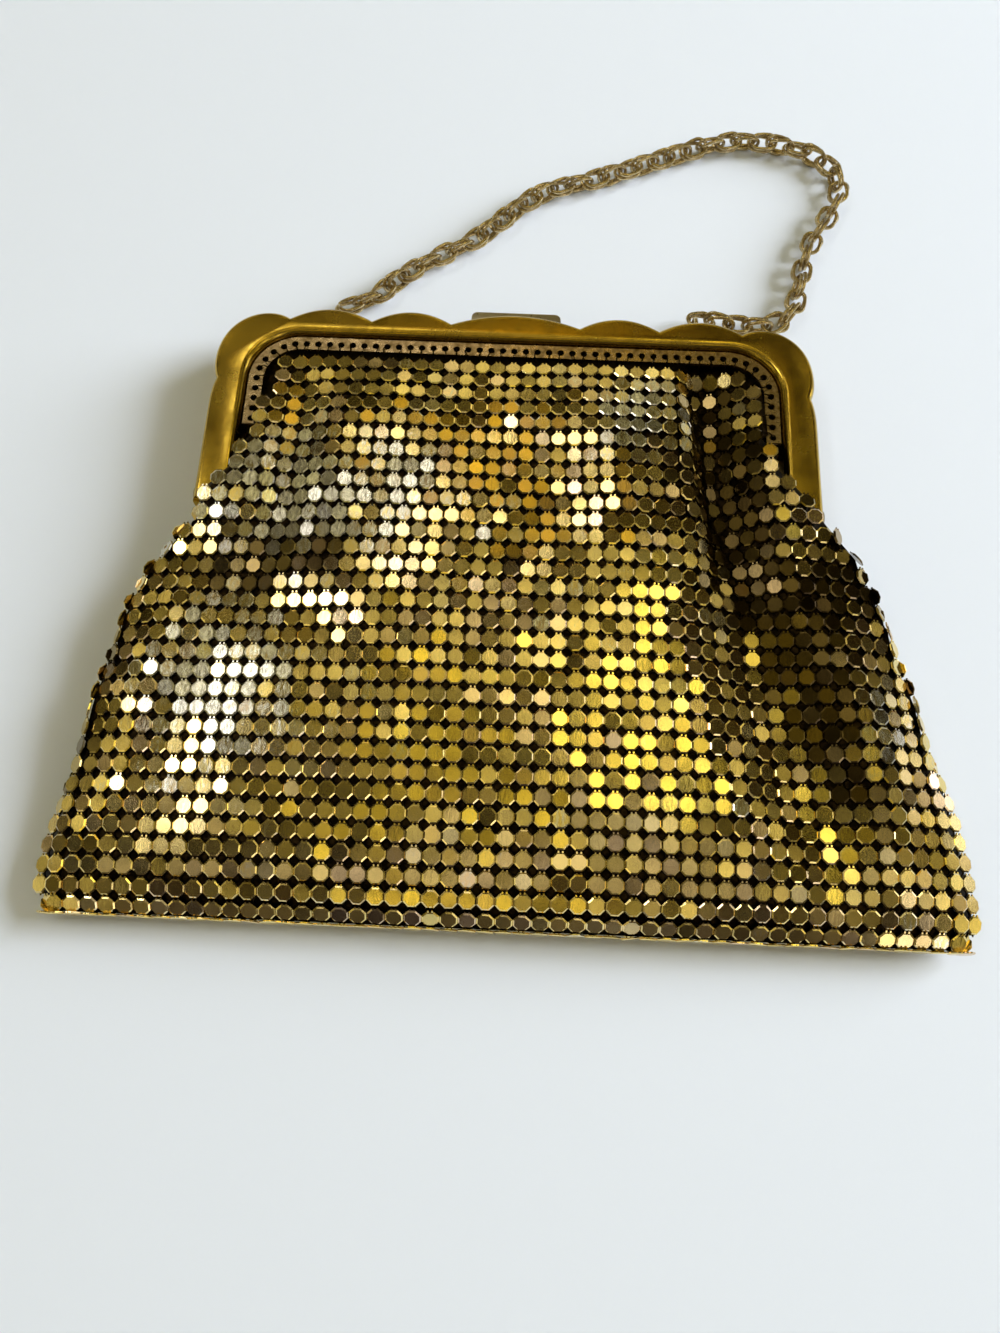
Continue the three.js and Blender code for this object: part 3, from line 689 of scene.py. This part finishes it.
def frame_outline():
    """Outline of the frame, with five scallops and two corner lobes, from the right arm's foot"""
    cusp_x = [share * HALF_WIDTH for share in CUSPS]
    notch_x = HALF_WIDTH - NOTCH_DEPTH
    notch_y = FRAME_RISE - INNER_CORNER - NOTCH_BELOW_CORNER
    notch_start = notch_y - NOTCH_RUN
    lobe_foot = notch_y + CORNER_LOBE_FOOT
    shoulder = CUSP_RISE + CORNER_LOBE_RISE
    right = [np.array([(HALF_WIDTH, -LEAF_RADIUS), (HALF_WIDTH, notch_start)])]
    right.append(curve_points(
        [(HALF_WIDTH, notch_start), (HALF_WIDTH, notch_y - NOTCH_RUN / 3), (notch_x, notch_y)], 10))
    right.append(curve_points(
        [(notch_x, notch_y), (HALF_WIDTH, notch_y + CORNER_LOBE_FOOT / 2), (HALF_WIDTH, lobe_foot)], 8))
    right.append(curve_points([
        (HALF_WIDTH, lobe_foot), (HALF_WIDTH, CUSP_RISE),
        (cusp_x[2] + CORNER_LOBE_LEAN, shoulder), (cusp_x[2], CUSP_RISE)], 28))
    stops = [cusp_x[2], cusp_x[1], cusp_x[0]]
    for a, b in zip(stops, stops[1:]):
        right.append(curve_points(
            [(a, CUSP_RISE), ((a + b) / 2, CUSP_RISE + 2 * LOBE_RISE), (b, CUSP_RISE)], 20))
    right = np.concatenate(right)
    middle = curve_points(
        [(cusp_x[0], CUSP_RISE), (0, CUSP_RISE + 2 * LOBE_RISE), (-cusp_x[0], CUSP_RISE)], 28)[:-1]
    left = right[::-1] * (-1, 1)
    angle = np.linspace(0, math.pi / 2, 22)
    corner_x, corner_y = INNER_HALF - INNER_CORNER, FRAME_RISE - INNER_CORNER
    inner_left = np.stack([
        -corner_x - INNER_CORNER * np.cos(angle), corner_y + INNER_CORNER * np.sin(angle)], axis=1)
    inner_right = inner_left[::-1] * (-1, 1)
    feet_left = np.array([(-INNER_HALF, -LEAF_RADIUS)])
    feet_right = np.array([(INNER_HALF, -LEAF_RADIUS)])
    return np.concatenate([right, middle, left, feet_left, inner_left, inner_right, feet_right])


def box_shape(bm, low, high):
    size = [b - a for a, b in zip(low, high)]
    centre = [(a + b) / 2 for a, b in zip(low, high)]
    matrix = Matrix.Translation(centre) @ Matrix.Diagonal((*size, 1))
    bmesh.ops.create_cube(bm, size=1, matrix=matrix)


def rod_along_x(bm, radius, low, high, y, z):
    matrix = Matrix.Translation(((low + high) / 2, y, z)) @ Matrix.Rotation(math.pi / 2, 4, "Y")
    bmesh.ops.create_cone(
        bm, cap_ends=True, segments=32, radius1=radius, radius2=radius, depth=high - low, matrix=matrix)


def scratch_object(bm):
    mesh = bpy.data.meshes.new("scratch")
    bm.to_mesh(mesh)
    bm.free()
    made = bpy.data.objects.new("scratch", mesh)
    bpy.context.scene.collection.objects.link(made)
    return made


def combined(body, *steps):
    """A body after boolean steps, each (operation, other body)"""
    for operation, other in steps:
        modifier = body.modifiers.new("step", "BOOLEAN")
        modifier.operation = operation
        modifier.object = other
        modifier.solver = "EXACT"
    graph = bpy.context.evaluated_depsgraph_get()
    mesh = bpy.data.meshes.new_from_object(body.evaluated_get(graph))
    for made in [body, *(other for _, other in steps)]:
        bpy.data.objects.remove(made)
    bm = bmesh.new()
    bm.from_mesh(mesh)
    return bm


def frame_half(is_front):
    """One half of the frame: its face is rounded along both edges, the other side is flat"""
    outline = frame_outline()
    direction = 1 if is_front else -1
    inner_level = MID_LEVEL + direction * CLEARANCE / 2
    face_level = FRAME_DEPTH if is_front else 0
    thickness = abs(face_level - inner_level)
    bm = bmesh.new()
    ring = [bm.verts.new((x, y, 0)) for x, y in outline]
    face = bm.faces.new(ring)
    face.normal_update()
    if face.normal.z < 0:
        bmesh.ops.reverse_faces(bm, faces=[face])
    made = bmesh.ops.extrude_face_region(bm, geom=[face])
    raised = [v for v in made["geom"] if isinstance(v, bmesh.types.BMVert)]
    bmesh.ops.translate(bm, verts=raised, vec=(0, 0, thickness - ROUNDING_DEPTH))
    bmesh.ops.recalc_face_normals(bm, faces=bm.faces)
    top = max(bm.faces, key=lambda f: f.calc_center_median().z)
    for i in range(ROUNDING_STEPS):
        a, b = (math.pi / 2 * j / ROUNDING_STEPS for j in (i, i + 1))
        inset = ROUNDING_INSET * (math.cos(a) - math.cos(b))
        rise = ROUNDING_DEPTH * (math.sin(b) - math.sin(a))
        bmesh.ops.inset_region(
            bm, faces=[top], thickness=inset, depth=0, use_even_offset=True, use_boundary=True)
        bmesh.ops.translate(bm, verts=top.verts[:], vec=(0, 0, rise))
    if is_front:
        bmesh.ops.translate(bm, verts=bm.verts, vec=(0, 0, inner_level))
    else:
        bmesh.ops.scale(bm, verts=bm.verts, vec=(1, 1, -1))
        bmesh.ops.translate(bm, verts=bm.verts, vec=(0, 0, inner_level))
        bmesh.ops.reverse_faces(bm, faces=bm.faces)
    body = scratch_object(bm)
    far = 2 * HALF_WIDTH
    middle = INNER_HALF + ARM_WIDTH / 2
    halves = [(INNER_HALF, middle - CLEARANCE / 2), (middle + CLEARANCE / 2, HALF_WIDTH)]
    if not is_front:
        halves.reverse()
    room = LEAF_RADIUS + CLEARANCE
    leaves, cuts = bmesh.new(), []
    for side in (-1, 1):
        own, other = (sorted((side * a, side * b)) for a, b in halves)
        rod_along_x(leaves, LEAF_RADIUS, *own, 0, MID_LEVEL)
        cuts.append(bmesh.new())
        low, high = other[0] - CLEARANCE, other[1] + CLEARANCE
        if is_front:
            rod_along_x(cuts[-1], room, low, high, 0, MID_LEVEL)
        else:
            box_shape(cuts[-1], (low, -far, -far), (high, room, far))
    half_catch = CATCH_WIDTH / 2 + CLEARANCE
    catch_room = CATCH_THICKNESS / 2 + CLEARANCE
    cuts.append(bmesh.new())
    box_shape(
        cuts[-1], (-half_catch, FRAME_RISE + CATCH_SEAT - CLEARANCE, MID_LEVEL - catch_room),
        (half_catch, far, MID_LEVEL + catch_room))
    if not is_front:
        cuts.append(bmesh.new())
        box_shape(cuts[-1], (-far, -far, -far), (far, STRIP_FOOT + CLEARANCE, BAG_WALL + CLEARANCE))
    return combined(
        body, *(("DIFFERENCE", scratch_object(cut)) for cut in cuts), ("UNION", scratch_object(leaves)))


def make_frame(material):
    """The two halves of the frame, with the lugs for the chain on the back one"""
    front = to_mesh("scalloped_front", frame_half(True), 32)
    show("scalloped_front", front, material, "frame_gold", "frame_front")
    back = frame_half(False)
    for side in (-1, 1):
        lug = ring_template(LUG_RADIUS, LUG_WIRE, 36, 12)
        lug_y = CUSP_RISE + LOBE_RISE + 2 * CLEARANCE + RING_WIRE + LUG_WIRE / 2 - LUG_RADIUS
        bmesh.ops.translate(lug, verts=lug.verts, vec=(side * LUG_X, lug_y, LUG_LEVEL))
        mesh = bpy.data.meshes.new("lug")
        lug.to_mesh(mesh)
        lug.free()
        back.from_mesh(mesh)
    show("scalloped_back", to_mesh("scalloped_back", back, 32), material, "frame_gold", "frame_back")


def make_catch(material):
    """Flat rounded tab that stands out between the halves"""
    half_width, half_depth = CATCH_WIDTH / 2, CATCH_THICKNESS / 2
    low = FRAME_RISE + CATCH_SEAT
    high = CUSP_RISE + LOBE_RISE + CATCH_STAND_OUT
    bm = bmesh.new()
    box_shape(bm, (-half_width, low, MID_LEVEL - half_depth), (half_width, high, MID_LEVEL + half_depth))
    upright = [e for e in bm.edges if abs(e.verts[0].co.z - e.verts[1].co.z) > 1]
    bmesh.ops.bevel(
        bm, geom=[e for e in upright if e.verts[0].co.y > low + 1], offset=CATCH_CORNER,
        offset_type="OFFSET", segments=6, profile=0.5, affect="EDGES", material=-1)
    rims = [e for e in bm.edges if len(e.link_faces) == 2 and e.calc_face_angle() > 1]
    bmesh.ops.bevel(
        bm, geom=rims, offset=CATCH_RIM, offset_type="OFFSET", segments=3, profile=0.5,
        affect="EDGES", material=-1)
    show("lift_tab", to_mesh("lift_tab", bm, 40), material, "catch_metal", "lift_catch")


# Perforated strips
def arch_frame(distance):
    """Point on the strips' line of holes, a distance from its left foot, and the way inwards"""
    radius = STRIP_CORNER - HOLE_INSET
    corner_x = STRIP_HALF - STRIP_CORNER
    corner_y = STRIP_TOP - STRIP_CORNER
    leg = corner_y - STRIP_FOOT
    arc = radius * math.pi / 2
    top = 2 * corner_x
    if distance < leg:
        return (-corner_x - radius, STRIP_FOOT + distance), (1, 0)
    if distance < leg + arc:
        angle = math.pi - (distance - leg) / radius
    elif distance < leg + arc + top:
        return (-corner_x + distance - leg - arc, corner_y + radius), (0, -1)
    elif distance < leg + 2 * arc + top:
        angle = math.pi / 2 - (distance - leg - arc - top) / radius
        corner_x = -corner_x
    else:
        return (corner_x + radius, corner_y - (distance - leg - 2 * arc - top)), (-1, 0)
    way = (math.cos(angle), math.sin(angle))
    return (-corner_x + radius * way[0], corner_y + radius * way[1]), (-way[0], -way[1])


ARCH_LENGTH = (
    2 * (STRIP_TOP - STRIP_CORNER - STRIP_FOOT)
    + math.pi * (STRIP_CORNER - HOLE_INSET)
    + 2 * (STRIP_HALF - STRIP_CORNER)
)
HOLES = round(ARCH_LENGTH / HOLE_PITCH)
HOLE_STEP = ARCH_LENGTH / HOLES


def strip_shape(level):
    """Strip as a row of square cells, each with a round hole, bent along the arch"""
    sides = 16
    bm = bmesh.new()
    for i in range(HOLES):
        ring = bmesh.ops.create_circle(bm, segments=sides, radius=HOLE_DIAMETER / 2)["verts"]
        rim = bmesh.ops.create_circle(bm, segments=sides, radius=1)["verts"]
        for vert in rim:
            reach = max(abs(vert.co.x), abs(vert.co.y))
            vert.co.x *= HOLE_STEP / 2 / reach
            vert.co.y = vert.co.y / reach * STRIP_WIDTH / 2 + HOLE_INSET - STRIP_WIDTH / 2
        edges = {e for v in ring + rim for e in v.link_edges}
        bmesh.ops.bridge_loops(bm, edges=list(edges))
        bmesh.ops.translate(bm, verts=ring + rim, vec=((i + 0.5) * HOLE_STEP, 0, 0))
    bmesh.ops.remove_doubles(bm, verts=bm.verts, dist=0.01)
    bmesh.ops.recalc_face_normals(bm, faces=bm.faces)
    if bm.faces[:][0].normal.z < 0:
        bmesh.ops.reverse_faces(bm, faces=bm.faces)
    bmesh.ops.solidify(bm, geom=bm.faces[:], thickness=STRIP_THICKNESS)
    bend_on_arch(bm, level)
    return bm


def bend_on_arch(bm, level):
    """Moves a shape drawn along X, with the outside of the arch towards +Y, onto the arch"""
    highest = max(v.co.z for v in bm.verts)
    for vert in bm.verts:
        (x, y), inward = arch_frame(min(max(vert.co.x, 0), ARCH_LENGTH))
        vert.co = (x - inward[0] * vert.co.y, y - inward[1] * vert.co.y, vert.co.z - highest + level)


def make_strips(material):
    """The front and the back strip"""
    for name, node, level in (
        ("front_hole_strip", "front_mesh_strip", STRIP_LEVEL),
        ("back_hole_strip", "back_mesh_strip", BACK_STRIP_LEVEL),
    ):
        bm = strip_shape(level)
        bmesh.ops.recalc_face_normals(bm, faces=bm.faces)
        show(name, to_mesh(name, bm, 40), material, "frame_gold", node)


def make_strip_wires(material):
    """Thin rings through the holes of the front strip"""
    places, turns = [], []
    for i in range(HOLES):
        (x, y), inward = arch_frame((i + 0.5) * HOLE_STEP)
        toward = np.array((*inward, 0.0))
        places.append(np.array((x, y, STRIP_LEVEL - 0.5)) + toward * HOOK_RADIUS)
        sideways = np.array((-toward[1], toward[0], 0))
        turns.append(np.stack([toward, np.array((0, 0, 1.0)), np.cross(toward, (0, 0, 1.0))], axis=1))
    places, turns = np.array(places), np.array(turns)
    turns = tilted(turns, *rng.normal(0, (0.25, 0.2, 0.1), (len(turns), 3)).T)
    mesh = joined("strip_wires", ring_template(HOOK_RADIUS, HOOK_WIRE, 16, 5), places, turns)
    show("strip_wires", mesh, material, "link_bronze")


# Chain
CHAIN_ROUTE = (
    (-37.4, 54.4), (-33.5, 56.4), (-30.1, 60.2), (-23.8, 65.8), (-17.5, 69.9), (-10.2, 74.8),
    (-3.7, 81.4), (2, 87), (7.8, 90.7), (15.5, 93.2), (22.2, 95.8), (29.2, 98.9),
    (41.3, 104.2), (47.4, 106.6), (54.5, 108), (63.1, 107.4), (70.6, 105.2), (75.6, 101.8),
    (78.2, 96.8), (78, 90.6), (74.8, 84.3), (71, 77.7), (68.4, 70.4), (66.8, 63.3),
    (65.6, 57.6), (62, 53.2), (56.6, 51.9), (50.6, 52.1), (45.6, 53),
)


def chain_line():
    """Evenly spaced points along the chain, from the left jump ring to the right one"""
    ring_y = CUSP_RISE + LOBE_RISE + CLEARANCE + RING_RADIUS + RING_WIRE / 2 + RING_RADIUS
    floor_level = LINK_WIDTH / 2
    points = [(-LUG_X + 0.4, ring_y - 0.3, LUG_LEVEL)]
    points += [(x, y, floor_level) for x, y in CHAIN_ROUTE]
    points += [(LUG_X - 0.4, ring_y - 0.3, LUG_LEVEL)]
    p = np.array(points)
    p = np.concatenate([[2 * p[0] - p[1]], p, [2 * p[-1] - p[-2]]])
    dense = []
    for i in range(1, len(p) - 2):
        t = np.linspace(0, 1, 24, endpoint=False)[:, None]
        a, b, c, d = p[i - 1:i + 3]
        bend, twist = 2 * a - 5 * b + 4 * c - d, 3 * b - a - 3 * c + d
        dense.append(0.5 * (2 * b + (c - a) * t + bend * t**2 + twist * t**3))
    dense = np.concatenate([*dense, [p[-2]]])
    lengths = np.concatenate([[0], np.cumsum(np.linalg.norm(np.diff(dense, axis=0), axis=1))])
    count = round(lengths[-1] / LINK_PITCH)
    places = np.linspace(0, lengths[-1], count + 1)
    return np.stack([np.interp(places, lengths, dense[:, i]) for i in range(3)], axis=1)


def link_template():
    """Oval link of round wire, with its long way along X"""
    bm = ring_template((LINK_WIDTH - LINK_WIRE) / 2, LINK_WIRE, 20, 8)
    stretch = (LINK_LENGTH - LINK_WIDTH) / 2
    for vert in bm.verts:
        vert.co.x += stretch * math.tanh(vert.co.x * 2)
    return bm


def make_chain(material):
    """Pairs of oval links, lying flat and upright in turn, each pair slightly fanned out"""
    line = chain_line()
    places, turns = [], []
    for i, (start, end) in enumerate(zip(line, line[1:])):
        along = unit(end - start)
        across = unit(np.cross((0, 0, 1.0), along))
        above = np.cross(along, across)
        roll = (i % 2) * math.pi / 2 + rng.normal(0, 0.16)
        width = across * math.cos(roll) + above * math.sin(roll)
        out = np.cross(along, width)
        for side in (-1, 1):
            fan = side * 0.13 + rng.normal(0, 0.04)
            way = unit(along + width * fan)
            side_way = np.cross(out, way)
            places.append((start + end) / 2 + out * side * 0.47 + along * side * 0.35)
            turns.append(np.stack([way, side_way, out], axis=1))
    mesh = joined("handle_chain", link_template(), np.array(places), np.array(turns))
    mesh.shade_smooth()
    show("handle_chain", mesh, material, "chain_gold", "chain")


def make_jump_rings(material):
    """The rings between the lugs and the chain's ends"""
    for name, node, side in (("left_ring", "left_jump_ring", -1), ("right_ring", "right_jump_ring", 1)):
        bm = ring_template(RING_RADIUS, RING_WIRE, 32, 10)
        bmesh.ops.rotate(bm, verts=bm.verts, matrix=Matrix.Rotation(math.pi / 2, 3, "Y"))
        middle = CUSP_RISE + LOBE_RISE + CLEARANCE + RING_RADIUS + RING_WIRE / 2 - 0.3
        bmesh.ops.translate(bm, verts=bm.verts, vec=(side * LUG_X, middle, LUG_LEVEL))
        show(name, to_mesh(name, bm, 60), material, "chain_gold", node)


# Materials
def nodes_of(name, color, roughness):
    """A plain metal, with its tree and its shader"""
    material = bpy.data.materials.new(name)
    material.use_nodes = True
    shader = material.node_tree.nodes["Principled BSDF"]
    shader.inputs["Base Color"].default_value = (*color, 1)
    shader.inputs["Metallic"].default_value = 1
    shader.inputs["Roughness"].default_value = roughness
    return material, material.node_tree, shader


def add(tree, kind, **settings):
    """A shader node with some of its inputs or settings set"""
    node = tree.nodes.new(kind)
    for key, value in settings.items():
        if key in node.inputs:
            node.inputs[key].default_value = value
        else:
            setattr(node, key, value)
    return node


def ramp(tree, source, stops):
    """Colours along a value, each (value, colour)"""
    node = tree.nodes.new("ShaderNodeValToRGB")
    ramp_stops = node.color_ramp.elements
    while len(ramp_stops) < len(stops):
        ramp_stops.new(0.5)
    for element, (position, color) in zip(ramp_stops, stops):
        element.position = position
        element.color = (*color, 1)
    tree.links.new(source, node.inputs["Fac"])
    return node.outputs["Color"]


def mixed(tree, factor, a, b):
    """Mix of two colours, each a colour or a socket"""
    node = tree.nodes.new("ShaderNodeMix")
    node.data_type = "RGBA"
    for socket, value in (("Factor", factor), ("A", a), ("B", b)):
        slots = [s for s in node.inputs if s.name == socket]
        target = slots[0] if socket == "Factor" else [s for s in slots if s.type == "RGBA"][0]
        if isinstance(value, bpy.types.NodeSocket):
            tree.links.new(value, target)
        else:
            target.default_value = value
    return [s for s in node.outputs if s.type == "RGBA"][0]


def vector_math(tree, operation, *values):
    """Outcome of an operation on vectors, each a vector or a socket"""
    node = add(tree, "ShaderNodeVectorMath", operation=operation)
    for socket, value in zip(node.inputs, values):
        if isinstance(value, bpy.types.NodeSocket):
            tree.links.new(value, socket)
        else:
            socket.default_value = value
    return node.outputs["Value" if operation == "LENGTH" else "Vector"]


def noise(tree, source, scale, detail, roughness=0.5):
    node = add(tree, "ShaderNodeTexNoise", Scale=scale, Detail=detail, Roughness=roughness)
    tree.links.new(source, node.inputs["Vector"])
    return node.outputs


def bumped(tree, shader, height, strength, distance):
    bump = add(tree, "ShaderNodeBump", Strength=strength, Distance=distance)
    tree.links.new(height, bump.inputs["Height"])
    tree.links.new(bump.outputs["Normal"], shader.inputs["Normal"])


def plate_material():
    """Gold plating, a little different on each plate, worn pale and scratched in patches, and mixed
    towards near black by painted shade
    """
    material, tree, shader = nodes_of("plate_gold", (0.84, 0.63, 0.24), 0.16)
    tone, worn, dark = (
        add(tree, "ShaderNodeAttribute", attribute_name=name).outputs["Fac"]
        for name in ("tone", "worn", "dark"))
    place = add(tree, "ShaderNodeTexCoord").outputs["Object"]
    gold = ramp(tree, tone, [
        (0.0, (0.82, 0.63, 0.42)), (0.2, (0.87, 0.67, 0.32)), (0.3, (0.92, 0.71, 0.28)),
        (0.85, (0.93, 0.73, 0.27)), (1.0, (0.95, 0.8, 0.45))])
    streaks = noise(tree, vector_math(tree, "MULTIPLY", place, (1.9, 0.55, 1)), 900, 4, 0.7)["Fac"]
    patchy = add(tree, "ShaderNodeMath", operation="MULTIPLY_ADD")
    tree.links.new(streaks, patchy.inputs[0])
    patchy.inputs[1].default_value = 0.9
    tree.links.new(worn, patchy.inputs[2])
    share = ramp(tree, patchy.outputs[0], [(0.75, (0, 0, 0)), (1.05, (1, 1, 1))])
    silver = ramp(tree, streaks, [(0.35, (0.5, 0.46, 0.36)), (0.6, (0.9, 0.86, 0.72))])
    # Painted shade: the dark attribute mixes plates towards near black in the shade patches, with a little
    # random darkening
    color = mixed(tree, dark, mixed(tree, share, gold, silver), (0.05, 0.03, 0.01, 1))
    tree.links.new(color, shader.inputs["Base Color"])
    rough = ramp(tree, patchy.outputs[0], [(0.3, (0.12,) * 3), (0.8, (0.15,) * 3), (1.0, (0.22,) * 3)])
    tree.links.new(rough, shader.inputs["Roughness"])
    bumped(tree, shader, streaks, 0.12, 0.00008)
    return material


def bronze_material():
    """Near-black metal of the prongs and rings, mottled by noise; its darkness is painted shade for the
    gaps between the plates
    """
    material, tree, shader = nodes_of("link_bronze", (0.04, 0.02, 0.008), 0.45)
    # Near-black colours: painted shade seen between the plates
    shade_mottle = noise(tree, add(tree, "ShaderNodeTexCoord").outputs["Object"], 700, 3)["Fac"]
    color = ramp(tree, shade_mottle, [(0.45, (0.006, 0.004, 0.002)), (0.8, (0.05, 0.03, 0.012))])
    tree.links.new(color, shader.inputs["Base Color"])
    bumped(tree, shader, shade_mottle, 0.5, 0.0002)
    return material


def worn_gold(name, bright, dull, low_roughness, high_roughness, scale):
    """Plated metal with a haze of fine scratches and dull specks"""
    material, tree, shader = nodes_of(name, bright, low_roughness)
    place = add(tree, "ShaderNodeTexCoord").outputs["Object"]
    haze = noise(tree, place, scale, 5, 0.6)["Fac"]
    tree.links.new(ramp(tree, haze, [(0.3, dull), (0.62, bright)]), shader.inputs["Base Color"])
    rough = ramp(tree, haze, [(0.3, (high_roughness,) * 3), (0.7, (low_roughness,) * 3)])
    tree.links.new(rough, shader.inputs["Roughness"])
    bumped(tree, shader, noise(tree, place, scale * 6, 3)["Fac"], 0.06, 0.0001)
    return material


# Stage
def make_camera():
    camera = bpy.data.objects.new("camera", bpy.data.cameras.new("camera"))
    bpy.context.scene.collection.objects.link(camera)
    camera.location = (0.00007, -0.1133, 0.1990)
    target = Vector((-0.0028, -0.0476, 0.0080))
    camera.rotation_euler = (target - camera.location).to_track_quat("-Z", "Y").to_euler()
    camera.data.lens = 27.06
    camera.data.sensor_width = 36
    camera.data.clip_start = 0.005
    bpy.context.scene.camera = camera


def make_floor():
    """Plain pale surface that the purse lies on"""
    bm = bmesh.new()
    bmesh.ops.create_grid(bm, x_segments=1, y_segments=1, size=2)
    mesh = bpy.data.meshes.new("floor")
    bm.to_mesh(mesh)
    bm.free()
    floor = bpy.data.objects.new("floor", mesh)
    bpy.context.scene.collection.objects.link(floor)
    material, tree, shader = nodes_of("pale_floor", (0.79, 0.84, 0.93), 0.6)
    shader.inputs["Metallic"].default_value = 0
    mesh.materials.append(material)


def card(name, direction, size, radiance, color):
    """Soft light panel that faces the purse from a direction, with its radiance"""
    middle = Vector((0, -0.03, 0))
    distance = 2.5
    light = bpy.data.lights.new(name, "AREA")
    light.shape = "RECTANGLE"
    light.size, light.size_y = size[0] * distance, size[1] * distance
    light.energy = radiance * math.pi * light.size * light.size_y
    light.color = color
    lamp = bpy.data.objects.new(name, light)
    bpy.context.scene.collection.objects.link(lamp)
    lamp.location = middle + Vector(direction).normalized() * distance
    lamp.rotation_euler = (middle - lamp.location).to_track_quat("-Z", "Y").to_euler()
    return lamp


# Lights and darks of the room above the purse, as a plan of the sky's half: middle and reach in
# shares of its radius (right, away from the camera), and colour
ROOM = (
    ((0, -0.95), (1.2, 0.25), (0.06, 0.05, 0.04)),
    ((0.93, 0.3), (0.09, 0.22), (1.5, 1.5, 1.5)),
    ((0.45, -0.72), (0.16, 0.12), (1.5, 1.4, 1.3)),
    ((0, -0.29), (0.55, 0.12), (0.46, 0.42, 0.35)),
    ((0, -0.5), (0.7, 0.12), (0.03, 0.022, 0.012)),
    ((-0.07, -0.64), (0.16, 0.06), (0.8, 0.66, 0.14)),
    ((0.62, -0.3), (0.12, 0.2), (1.2, 1.15, 1.05)),
    ((-0.1, -0.04), (0.09, 0.2), (0.6, 0.5, 0.09)),
    ((-0.19, 0.2), (0.09, 0.08), (0.95, 0.78, 0.13)),
    ((0.22, 0.18), (0.11, 0.17), (1.75, 1.55, 0.45)),
    ((-0.5, 0.14), (0.09, 0.2), (4.2, 4.2, 4.1)),
    ((-0.32, 0.5), (0.14, 0.13), (0.09, 0.07, 0.02)),
    ((0, 0.63), (0.16, 0.1), (0.6, 0.42, 0.06)),
    ((0.18, -0.07), (0.16, 0.1), (0.5, 0.47, 0.4)),
    ((-0.14, 0.5), (0.06, 0.1), (3.4, 3.3, 3)),
    ((0.31, 0.5), (0.14, 0.16), (0.02, 0.015, 0.006)),
    ((0.66, 0.45), (0.18, 0.22), (0.025, 0.018, 0.008)),
)
# How far the patches' edges stray, in the same shares
ROOM_WOBBLE = 0.1


def make_room():
    """Dim warm room with bright and dark patches, so that the tilted plates differ"""
    world = bpy.data.worlds.new("studio")
    bpy.context.scene.world = world
    world.use_nodes = True
    tree = world.node_tree
    direction = add(tree, "ShaderNodeTexCoord").outputs["Generated"]
    cloud = noise(tree, direction, 5, 2)
    color = ramp(tree, cloud["Fac"], [
        (0.42, (0.01, 0.008, 0.004)), (0.49, (0.07, 0.058, 0.02)), (0.55, (0.24, 0.21, 0.08)),
        (0.62, (0.75, 0.68, 0.36))])
    stray = (2 * ROOM_WOBBLE, 2 * ROOM_WOBBLE, 0)
    wobbled = vector_math(tree, "MULTIPLY_ADD", cloud["Color"], stray, direction)
    for middle, reach, tone in ROOM:
        centre = (middle[0] + ROOM_WOBBLE, middle[1] + ROOM_WOBBLE, 0)
        away = vector_math(tree, "SUBTRACT", wobbled, centre)
        shares = vector_math(tree, "MULTIPLY", away, (1 / reach[0], 1 / reach[1], 0))
        share = ramp(tree, vector_math(tree, "LENGTH", shares), [(0.65, (1, 1, 1)), (1.0, (0, 0, 0))])
        color = mixed(tree, share, color, (*tone, 1))
    shade = ramp(tree, noise(tree, direction, 14, 1)["Fac"], [
        (0.4, (0.16, 0.14, 0.12)), (0.49, (0.7, 0.7, 0.7)), (0.6, (2.5, 2.5, 2.6))])
    mottled = vector_math(tree, "MULTIPLY", color, shade)
    seen = add(tree, "ShaderNodeLightPath").outputs["Is Camera Ray"]
    color = mixed(tree, seen, mottled, (0.72, 0.76, 0.8, 1))
    tree.links.new(color, tree.nodes["Background"].inputs["Color"])


def make_light():
    """The room's own light, and one soft window from the right"""
    make_room()
    window = card("window", (0.88, 0.28, 0.38), (0.55, 0.55), 20.5, (0.88, 0.93, 1))
    window.visible_glossy = False


def main():
    make_camera()
    plate_gold = plate_material()
    bronze = bronze_material()
    frame_gold = worn_gold("frame_gold", (0.62, 0.41, 0.06), (0.4, 0.26, 0.035), 0.14, 0.3, 160)
    chain_gold = worn_gold("chain_gold", (0.74, 0.6, 0.34), (0.36, 0.26, 0.12), 0.16, 0.36, 400)
    strip_gold = worn_gold("strip_gold", (0.62, 0.46, 0.26), (0.2, 0.13, 0.05), 0.2, 0.4, 650)
    tab_metal = worn_gold("catch_metal", (0.5, 0.44, 0.34), (0.36, 0.3, 0.2), 0.25, 0.45, 250)

    grid = mesh_grid()
    across, up, outward = plate_axes(grid)
    front = slice(0, FRONT_ROWS + 2)
    back = slice(FRONT_ROWS + 2, None)
    make_plates(grid, across, up, outward, front, "front_plates", plate_gold, "mesh_bag")
    make_plates(grid, across, up, outward, back, "back_plates", plate_gold, "mesh_bag")
    make_link_rings(grid, across, outward, slice(0, FRONT_ROWS + 1), "front_links", bronze)
    make_link_rings(grid, across, outward, slice(FRONT_ROWS + 1, None), "back_links", bronze)
    make_links_and_shade_sheet(grid, outward, bronze)

    make_frame(frame_gold)
    make_catch(tab_metal)
    make_strips(strip_gold)
    make_strip_wires(bronze)
    make_chain(chain_gold)
    make_jump_rings(chain_gold)
    for node in ("left_hinge_pin", "right_hinge_pin"):
        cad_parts[node].data.materials[0] = tab_metal
    make_floor()
    make_light()
    bpy.context.scene.view_settings.view_transform = "Standard"


main()
